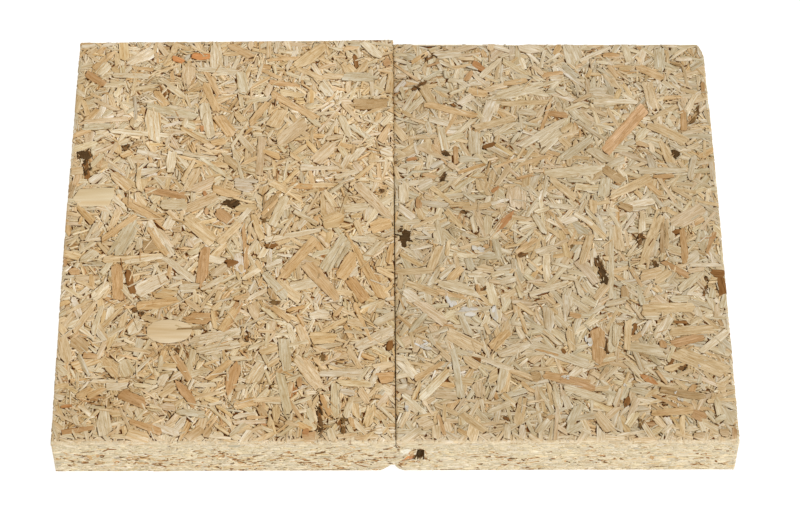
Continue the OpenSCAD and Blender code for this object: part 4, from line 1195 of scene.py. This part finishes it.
for x0, x1, d in ((3.0, 13.0, 0.35), (60.0, 124.0, 0.4)):
    y0, y1 = back_a(X0 + x0), back_a(X0 + x1)
    top_a.reserve([(X0 + x0, y0 + 0.4), (X0 + x0 + 2, y0 - d), (X0 + x1 - 2, y1 - d), (X0 + x1, y1 + 0.4)], keep=True)
fill_flakes(top_a, MIX_A, r_a, X0 + 0.6, YF, NAMED_A, [], medium=0.62, over=260, mix_big=MIX_BIG_A)
fill_flakes(top_b, MIX_B, r_b, SR + 0.9, YF, NAMED_B, RESIDUE_B, scale=1.08, gaps=0.6, big=0.22, medium=0.68, over=180, mix_big=MIX_BIG_B)

# where the boards stop on their ends: round the tongue, in the groove, and at the two chips; X from the shoulder, Z up
AT_TONGUE = [
    [(0.0, T - 4.4), (9.0, T - 5.8), (9.2, T + 0.2), (0.0, T + 0.2)],
    [(0.0, -0.1), (5.2, -0.1), (5.2, 8.7), (0.0, 5.7)],
    [(5.2, -0.1), (9.2, -0.1), (9.2, 9.93), (5.2, 8.7)],
    [(7.9, 10.0), (9.2, 10.0), (9.2, 16.2), (8.9, 15.5)],
    [(7.1, 9.3), (9.2, 9.9), (9.2, 10.0), (7.9, 10.0)],
]
AT_GROOVE = [
    [(4.9, 8.4), (11.5, 8.4), (11.5, 16.1), (4.9, 17.13)],
    [(-0.1, 5.6), (4.9, 8.4), (4.9, 17.13), (-0.1, 17.92)],
]
CHIP_A = [[(-6.0, -0.1), (0.05, -0.1), (0.05, 4.3), (-1.86, 4.3)]]
CHIP_B = [[(-0.1, -0.1), (1.225, -0.1), (1.225, 1.55), (-0.1, 3.25)], [(1.225, -0.1), (3.6, -0.1), (1.225, 1.55)]]


# how much lighter and paler the saw cuts are: partly their paler wood, partly painted light
CUT_PALER_AND_LIT = (1.05, 1.115, 1.21)


def end_face(x_lo, x_hi, shoulder, stops, place, mirror, top_gap):
    """The saw cut at one end of a board."""
    side = Border((-0.1, 0.05), reach=0.7, drop=0.25, bands=1)
    joint = Border((-0.05, 0.05), reach=0.7, drop=0.25, bands=1, more=lambda a, b: 0.26 if b < 6.5 else 0.0)
    up = Border((-0.1, 0.1), reach=1.6, drop=0.3, bands=1, fade=0.5)
    low = Border((-0.06, 0.0))
    if mirror:
        f = Face([(-x_hi, 0.08), (-x_lo, 0.08), (-x_lo, T - top_gap), (-x_hi, T - top_gap)], [low, joint if stops[0][0][0] > 1 else side, up, side], place, pitch=0.16 if not mirror else 0.2, tint=CUT_PALER_AND_LIT, detail=0 if mirror else 1)
    else:
        f = Face([(x_lo, 0.08), (x_hi, 0.08), (x_hi, T - top_gap), (x_lo, T - top_gap)], [low, side, up, joint if stops[0][0][0] > 1 else side], place, pitch=0.16 if not mirror else 0.2, tint=CUT_PALER_AND_LIT, detail=0 if mirror else 1)
    for p in stops:
        q = [(shoulder + x, z) for x, z in p]
        if mirror:
            q = [(-x, z) for x, z in q[::-1]]
        f.reserve(q, keep=True)
    return f


front_a = end_face(X0 + 0.1, SL + 8.95, SL, AT_TONGUE + CHIP_A, front_place, False, 0.5)
front_b = end_face(SR, X1 - 0.1, SR, AT_GROOVE + CHIP_B, front_place, False, 0.5)
rear_a = end_face(X0 + 0.1, SL + 8.95, SL, AT_TONGUE, back_place_a, True, 0.4)
rear_b = end_face(SR, X1 - CORNER_W - 0.1, SR, AT_GROOVE, back_place_b, True, 0.4)
side_border = Border((-0.1, 0.05), reach=0.7, drop=0.25, bands=1)
side_top = Border((-0.1, 0.08), reach=1.0, drop=0.25, bands=1)
low_border = Border((-0.06, 0.0))
left_a = Face(
    [(-back_a(X0) + 0.1, 0.08), (-YF - 0.1, 0.08), (-YF - 0.1, T - 0.4), (-back_a(X0) + 0.1, T - 0.4)],
    [low_border, side_border, side_top, side_border],
    left_place,
    tint=CUT_PALER_AND_LIT,
    detail=0,
)
right_b = Face(
    [(YF + 0.1, 0.08), (YF + LEN_B1 - CORNER_L, 0.08), (YF + LEN_B1 - CORNER_L, T - 0.4), (YF + 0.1, T - 0.4)],
    [low_border, low_border, side_top, side_border],
    right_place,
    tint=CUT_PALER_AND_LIT,
    detail=0,
)
ck = math.hypot(CORNER_W, CORNER_L)
cd, cn = (-CORNER_W / ck, CORNER_L / ck), (CORNER_L / ck, CORNER_W / ck)
corner_place = lambda a, b, h: (X1 - 0.72 + cd[0] * a + cn[0] * h, YF + LEN_B1 - CORNER_L + cd[1] * a + cn[1] * h, b)
corner_b = Face(
    [(0.0, 0.08), (ck, 0.08), (ck, T - 0.4), (0.0, T - 0.4)], [low_border, low_border, side_top, low_border], corner_place, lowest=-0.15
)
fill_layers(front_a, MIX_EDGE, r_e, JOINT_A + DASHES_A, ox=X0 + 0.6, specks=0.92, gaps=0.85)
fill_layers(front_b, MIX_EDGE, r_e, JOINT_B + DASHES_B, JOINT_OVER, ox=SR + 0.9, specks=0.25, gaps=0.5)
fill_layers(rear_a, MIX_EDGE, r_e, scale=2.3, target=0.97, specks=0.6)
fill_layers(rear_b, MIX_EDGE, r_e, scale=2.3, target=0.97, specks=0.6)
fill_layers(left_a, MIX_EDGE, r_e, scale=2.3, target=0.97, specks=0.6)
fill_layers(right_b, MIX_EDGE, r_e, scale=2.3, target=0.97, specks=0.6)
fill_layers(corner_b, MIX_EDGE, r_e, gaps=0.6)

under_a = Face(
    [(X0 + 0.1, -back_a(X0) + 0.1), (SL, -back_a(SL) + 0.1), (SL, -YF - 0.1), (X0 + 0.1, -YF - 0.1)],
    [Border((-0.1, 0.05)) for _ in range(4)],
    bottom_place,
    pitch=0.3,
    detail=1,
)
under_a.reserve([(SL - 1.9, -YF - 13), (SL + 0.1, -YF - 13), (SL + 0.1, -YF + 0.1), (SL - 6.0, -YF + 0.1)], keep=True)
under_b = Face(
    [(SR, -back_b(SR) + 0.1), (X1 - CORNER_W - 0.1, -back_b(X1) + 0.1), (X1 - 0.1, -back_b(X1) + CORNER_L), (X1 - 0.1, -YF - 0.1), (SR, -YF - 0.1)],
    [Border((-0.1, 0.05)) for _ in range(5)],
    bottom_place,
    pitch=0.3,
    detail=1,
)
under_b.reserve([(SR - 0.1, -YF - 13), (SR + 3.5, -YF + 0.1), (SR - 0.1, -YF + 0.1)], keep=True)
fill_flakes(under_a, MIX_A, r_u, X0, YF, [], [], scale=2.1, gaps=0.5)
fill_flakes(under_b, MIX_B, r_u, SR, YF, [], [], scale=2.1, gaps=0.5)

# ---------------------------------------------------------------- materials


def new_material(name):
    m = bpy.data.materials.new(name)
    m.use_nodes = True
    nt = m.node_tree
    nt.nodes.clear()
    out = nt.nodes.new("ShaderNodeOutputMaterial")
    p = nt.nodes.new("ShaderNodeBsdfPrincipled")
    nt.links.new(p.outputs[0], out.inputs[0])
    return m, nt, p


def math_node(nt, op, a, b=None, clamp=False):
    n = nt.nodes.new("ShaderNodeMath")
    n.operation = op
    n.use_clamp = clamp
    for i, x in enumerate((a, b)):
        if x is None:
            continue
        if hasattr(x, "is_linked"):
            nt.links.new(x, n.inputs[i])
        else:
            n.inputs[i].default_value = x
    return n.outputs[0]


def vec_scale(nt, v, s):
    n = nt.nodes.new("ShaderNodeVectorMath")
    n.operation = "MULTIPLY"
    nt.links.new(v, n.inputs[0])
    n.inputs[1].default_value = s
    return n.outputs[0]


def noise(nt, v, scale, detail=2.0, rough=0.5, dist=0.0):
    n = nt.nodes.new("ShaderNodeTexNoise")
    n.inputs["Scale"].default_value = scale
    n.inputs["Detail"].default_value = detail
    n.inputs["Roughness"].default_value = rough
    n.inputs["Distortion"].default_value = dist
    nt.links.new(v, n.inputs["Vector"])
    return n.outputs["Fac"]


def remap(nt, x, a, b, c, d):
    n = nt.nodes.new("ShaderNodeMapRange")
    nt.links.new(x, n.inputs[0])
    for i, val in enumerate((a, b, c, d)):
        n.inputs[i + 1].default_value = val
    return n.outputs[0]


def mix_colour(nt, kind, fac, a, b):
    n = nt.nodes.new("ShaderNodeMix")
    n.data_type = "RGBA"
    n.blend_type = kind
    for sock, x in ((n.inputs[0], fac), (n.inputs[6], a), (n.inputs[7], b)):
        if hasattr(x, "is_linked"):
            nt.links.new(x, sock)
        else:
            sock.default_value = x
    return n.outputs[2]


def strand_material(name, fibre=1.0, brown=1.0, bump=0.02, speck=0.0, drift=0.0):
    """Wood fibres along each strand, from the strand's own frame: u across and v along, in mm, and a seed."""
    m, nt, p = new_material(name)
    tone = nt.nodes.new("ShaderNodeAttribute")
    tone.attribute_name = "tone"
    st = nt.nodes.new("ShaderNodeAttribute")
    st.attribute_name = "strand"
    v = st.outputs["Vector"]
    col = tone.outputs["Color"]
    broad = noise(nt, vec_scale(nt, v, (1.25, 0.1, 1.0)), 1.0, 3.0, 0.66, 0.35)
    fine = noise(nt, vec_scale(nt, v, (2.2, 0.2, 1.7)), 1.0, 3.0, 0.62, 0.25)
    blotch = noise(nt, vec_scale(nt, v, (0.42, 0.2, 2.3)), 1.0, 2.0, 0.5)
    rings = noise(nt, vec_scale(nt, v, (1.5, 0.035, 3.1)), 1.0, 1.0, 0.4, 0.15)
    pores = noise(nt, vec_scale(nt, v, (2.1, 0.42, 4.9)), 1.0, 3.0, 0.65)
    k1 = remap(nt, broad, 0.30, 0.68, 1 - 0.18 * fibre, 1 + 0.12 * fibre)
    k2 = remap(nt, fine, 0.3, 0.7, 1 - 0.23 * fibre, 1 + 0.15 * fibre)
    k3 = remap(nt, blotch, 0.3, 0.7, 0.95, 1.05)
    k = math_node(nt, "MULTIPLY", math_node(nt, "MULTIPLY", k1, k2), k3)
    if drift:  # slow changes over the board, and painted light: a little lighter toward the far end
        tc = nt.nodes.new("ShaderNodeTexCoord")
        slow = noise(nt, tc.outputs["Object"], 34.0, 1.0, 0.5)
        xyz = nt.nodes.new("ShaderNodeSeparateXYZ")
        nt.links.new(tc.outputs["Object"], xyz.inputs[0])
        far = remap(nt, xyz.outputs[1], -0.107, 0.107, 0.965, 1.05)
        k = math_node(nt, "MULTIPLY", k, math_node(nt, "MULTIPLY", far, remap(nt, slow, 0.3, 0.7, 1 - drift, 1 + drift)))
    grey = nt.nodes.new("ShaderNodeCombineColor")
    for i, e in enumerate((0.78, 1.0, 1.45)):  # the darker the browner
        nt.links.new(math_node(nt, "POWER", k, e) if e != 1 else k, grey.inputs[i])
    col = mix_colour(nt, "MULTIPLY", 1.0, col, grey.outputs[0])
    warm_on = remap(nt, broad, 0.56, 0.36, 0.0, 0.55 * brown)
    col = mix_colour(nt, "MULTIPLY", warm_on, col, (0.95, 0.84, 0.66, 1))
    ring_on = math_node(nt, "MULTIPLY", remap(nt, rings, 0.5, 0.62, 0.0, 0.85), tone.outputs["Alpha"])
    col = mix_colour(nt, "MULTIPLY", ring_on, col, (0.87, 0.72, 0.52, 1))
    pore_on = remap(nt, pores, 0.575, 0.68, 0.0, 0.8 * brown)
    col = mix_colour(nt, "MULTIPLY", pore_on, col, (0.68, 0.48, 0.23, 1))
    if speck:
        s = noise(nt, vec_scale(nt, v, (1.6, 1.0, 7.7)), 1.0, 3.0, 0.7)
        col = mix_colour(nt, "MULTIPLY", remap(nt, s, 0.60, 0.70, 0.0, speck), col, (0.78, 0.62, 0.44, 1))
    nt.links.new(col, p.inputs["Base Color"])
    p.inputs["Roughness"].default_value = 0.74
    p.inputs["Specular IOR Level"].default_value = 0.06
    b = nt.nodes.new("ShaderNodeBump")
    b.inputs["Strength"].default_value = 0.6
    b.inputs["Distance"].default_value = bump * MM * 2
    nt.links.new(fine, b.inputs["Height"])
    nt.links.new(b.outputs[0], p.inputs["Normal"])
    return m


def core_material(name, low, high, contrast=1.0):
    m, nt, p = new_material(name)
    tc = nt.nodes.new("ShaderNodeTexCoord")
    v = tc.outputs["Object"]
    n1 = noise(nt, vec_scale(nt, v, (1.0, 0.4, 1.6)), 900.0, 3.0, 0.6)
    n2 = noise(nt, v, 260.0, 2.0, 0.5)
    col = mix_colour(nt, "MIX", remap(nt, n1, 0.35, 0.68, 0.0, 1.0), tuple(lin(low)) + (1,), tuple(lin(high)) + (1,))
    col = mix_colour(nt, "MULTIPLY", remap(nt, n2, 0.4, 0.7, 0.0, 0.5 * contrast), col, tuple(lin((170, 142, 112))) + (1,))
    nt.links.new(col, p.inputs["Base Color"])
    p.inputs["Roughness"].default_value = 0.85
    p.inputs["Specular IOR Level"].default_value = 0.04
    b = nt.nodes.new("ShaderNodeBump")
    b.inputs["Strength"].default_value = 0.8
    b.inputs["Distance"].default_value = 0.25 * MM
    nt.links.new(n1, b.inputs["Height"])
    nt.links.new(b.outputs[0], p.inputs["Normal"])
    return m


mat_a = strand_material("strand_wood_warm", drift=0.1)
mat_b = strand_material("strand_wood_pale", fibre=1.2, brown=0.8, drift=0.08)
mat_cut = strand_material("strand_wood_saw_cut", fibre=0.7, brown=0.45, speck=0.5)
mat_deep = core_material("strand_wood_in_shadow", (96, 54, 19), (134, 81, 35))
mat_milled = core_material("strand_wood_milled", (172, 138, 96), (222, 203, 166))

# ---------------------------------------------------------------- pieces
is_flake = lambda s: s[10] >= 1.2
is_sliver = lambda s: s[10] < 1.2

for face, mat, panel, slot in ((top_a, mat_a, "tongue_panel", "tongue_board"), (top_b, mat_b, "groove_panel", "groove_board")):
    s = Skin(panel + "_top_flakes")
    s.add_face(face, is_flake)
    s.build(mat)
    s = Skin(panel + "_top_slivers")
    s.add_face(face, is_sliver)
    s.build(mat)
for faces, panel, slot in (((front_a, rear_a, left_a), "tongue_panel", "tongue_board"), ((front_b, rear_b, right_b, corner_b), "groove_panel", "groove_board")):
    s = Skin(panel + "_cut_edges")
    for f in faces:
        s.add_face(f)
    s.build(mat_cut)
for face, mat, panel, slot in ((under_a, mat_a, "tongue_panel", "tongue_board"), (under_b, mat_b, "groove_panel", "groove_board")):
    s = Skin(panel + "_underside_flakes")
    s.add_face(face)
    s.build(mat)


def core(node, name, x_lo, x_hi, back):
    """The board inside the strand skins: the CAD board, drawn in under them."""
    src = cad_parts[node]
    mesh = src.data.copy()
    mesh.name = name
    mw = src.matrix_world
    for vert in mesh.vertices:
        c = mw @ vert.co / MM
        x = max(c.x, x_lo + worn_a(c.y)) if x_lo is not None else c.x
        x = min(x, x_hi - worn_b(c.y)) if x_hi is not None else x
        y = min(max(c.y, YF + SKIN), back(c.x) - SKIN)
        z = min(max(c.z, SKIN), T - SKIN)
        if x_hi is not None:  # and in under the cut of the missing corner
            d = cn[0] * (x - X1 + 0.72) + cn[1] * (y - YF - LEN_B1 + CORNER_L) + 0.5
            if d > 0:
                x, y = x - cn[0] * d, y - cn[1] * d
        vert.co = Vector((x, y, z)) * MM
    mesh.materials.clear()
    mesh.materials.append(mat_deep)
    mesh.materials.append(mat_milled)
    mesh.update()
    for poly in mesh.polygons:
        c = poly.center / MM
        n = poly.normal
        deep = (
            (abs(n.z) > 0.5 and (c.z < SKIN + 0.05 or c.z > T - SKIN - 0.3))
            or abs(n.y) > 0.6
            or (abs(n.x) > 0.6 and SL - 0.1 < c.x < SR + 0.1)
            or (x_lo is not None and c.x < x_lo + 1.0)
            or (x_hi is not None and c.x > x_hi - 2.6)
        )
        poly.material_index = 0 if deep else 1
    ob = bpy.data.objects.new(name, mesh)
    bpy.context.scene.collection.objects.link(ob)
    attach(ob, "root")
    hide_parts(node)
    return ob


ca = core("tongue_panel", "tongue_panel_core", X0 + SKIN, None, back_a)
cb = core("groove_panel", "groove_panel_core", None, X1 - SKIN, back_b)

# ---------------------------------------------------------------- floor, light and camera
bpy.ops.mesh.primitive_plane_add(size=6.0, location=(0, 0, 0))
floor = bpy.context.object
floor.name = "floor"
fm, fnt, fp = new_material("floor_white")
fp.inputs["Base Color"].default_value = (0.25, 0.25, 0.25, 1)
fp.inputs["Roughness"].default_value = 0.9
fp.inputs["Specular IOR Level"].default_value = 0.1
fp.inputs["Emission Color"].default_value = (1, 1, 1, 1)
fp.inputs["Emission Strength"].default_value = 0.9
floor.data.materials.append(fm)

world = bpy.data.worlds.new("studio")
bpy.context.scene.world = world
world.use_nodes = True
bg = world.node_tree.nodes["Background"]
bg.inputs[0].default_value = (1, 0.92, 0.80, 1)
bg.inputs[1].default_value = 0.52


def area_light(name, loc, target, size, power, colour=(1, 1, 1)):
    d = bpy.data.lights.new(name, "AREA")
    d.shape = "RECTANGLE"
    d.size, d.size_y = size
    d.energy = power
    d.color = colour
    o = bpy.data.objects.new(name, d)
    bpy.context.scene.collection.objects.link(o)
    o.location = loc
    o.rotation_euler = (Vector(target) - Vector(loc)).to_track_quat("-Z", "Y").to_euler()
    return o


area_light("key", (2.05, -0.75, 2.25), (0, 0, 0), (1.1, 1.1), 74, (0.95, 1.0, 1.08))
area_light("fill", (-1.6, 0.6, 2.4), (0, 0, 0), (2.0, 2.0), 10)
area_light("front", (0.3, -2.5, 0.8), (0, -0.1, 0), (1.5, 1.5), 11, (0.95, 1.0, 1.07))

cam_data = bpy.data.cameras.new("camera")
cam_data.lens = 2845.3 / 800 * 36
cam_data.sensor_width = 36
cam_data.clip_start = 0.05
cam_data.clip_end = 20
cam = bpy.data.objects.new("camera", cam_data)
bpy.context.scene.collection.objects.link(cam)
pitch, roll, yaw = 54.365, 0.520, -0.795
rot = (
    Matrix.Rotation(math.radians(yaw), 4, "Z")
    @ Matrix.Rotation(math.radians(90 - pitch), 4, "X")
    @ Matrix.Rotation(math.radians(roll), 4, "Z")
)
cam.matrix_world = Matrix.Translation(Vector((-7.03, -722.09, 1003.52)) * MM) @ rot
bpy.context.scene.camera = cam

sc = bpy.context.scene
sc.view_settings.view_transform = "Standard"
sc.view_settings.look = "None"
sc.view_settings.exposure = 0
sc.view_settings.gamma = 1
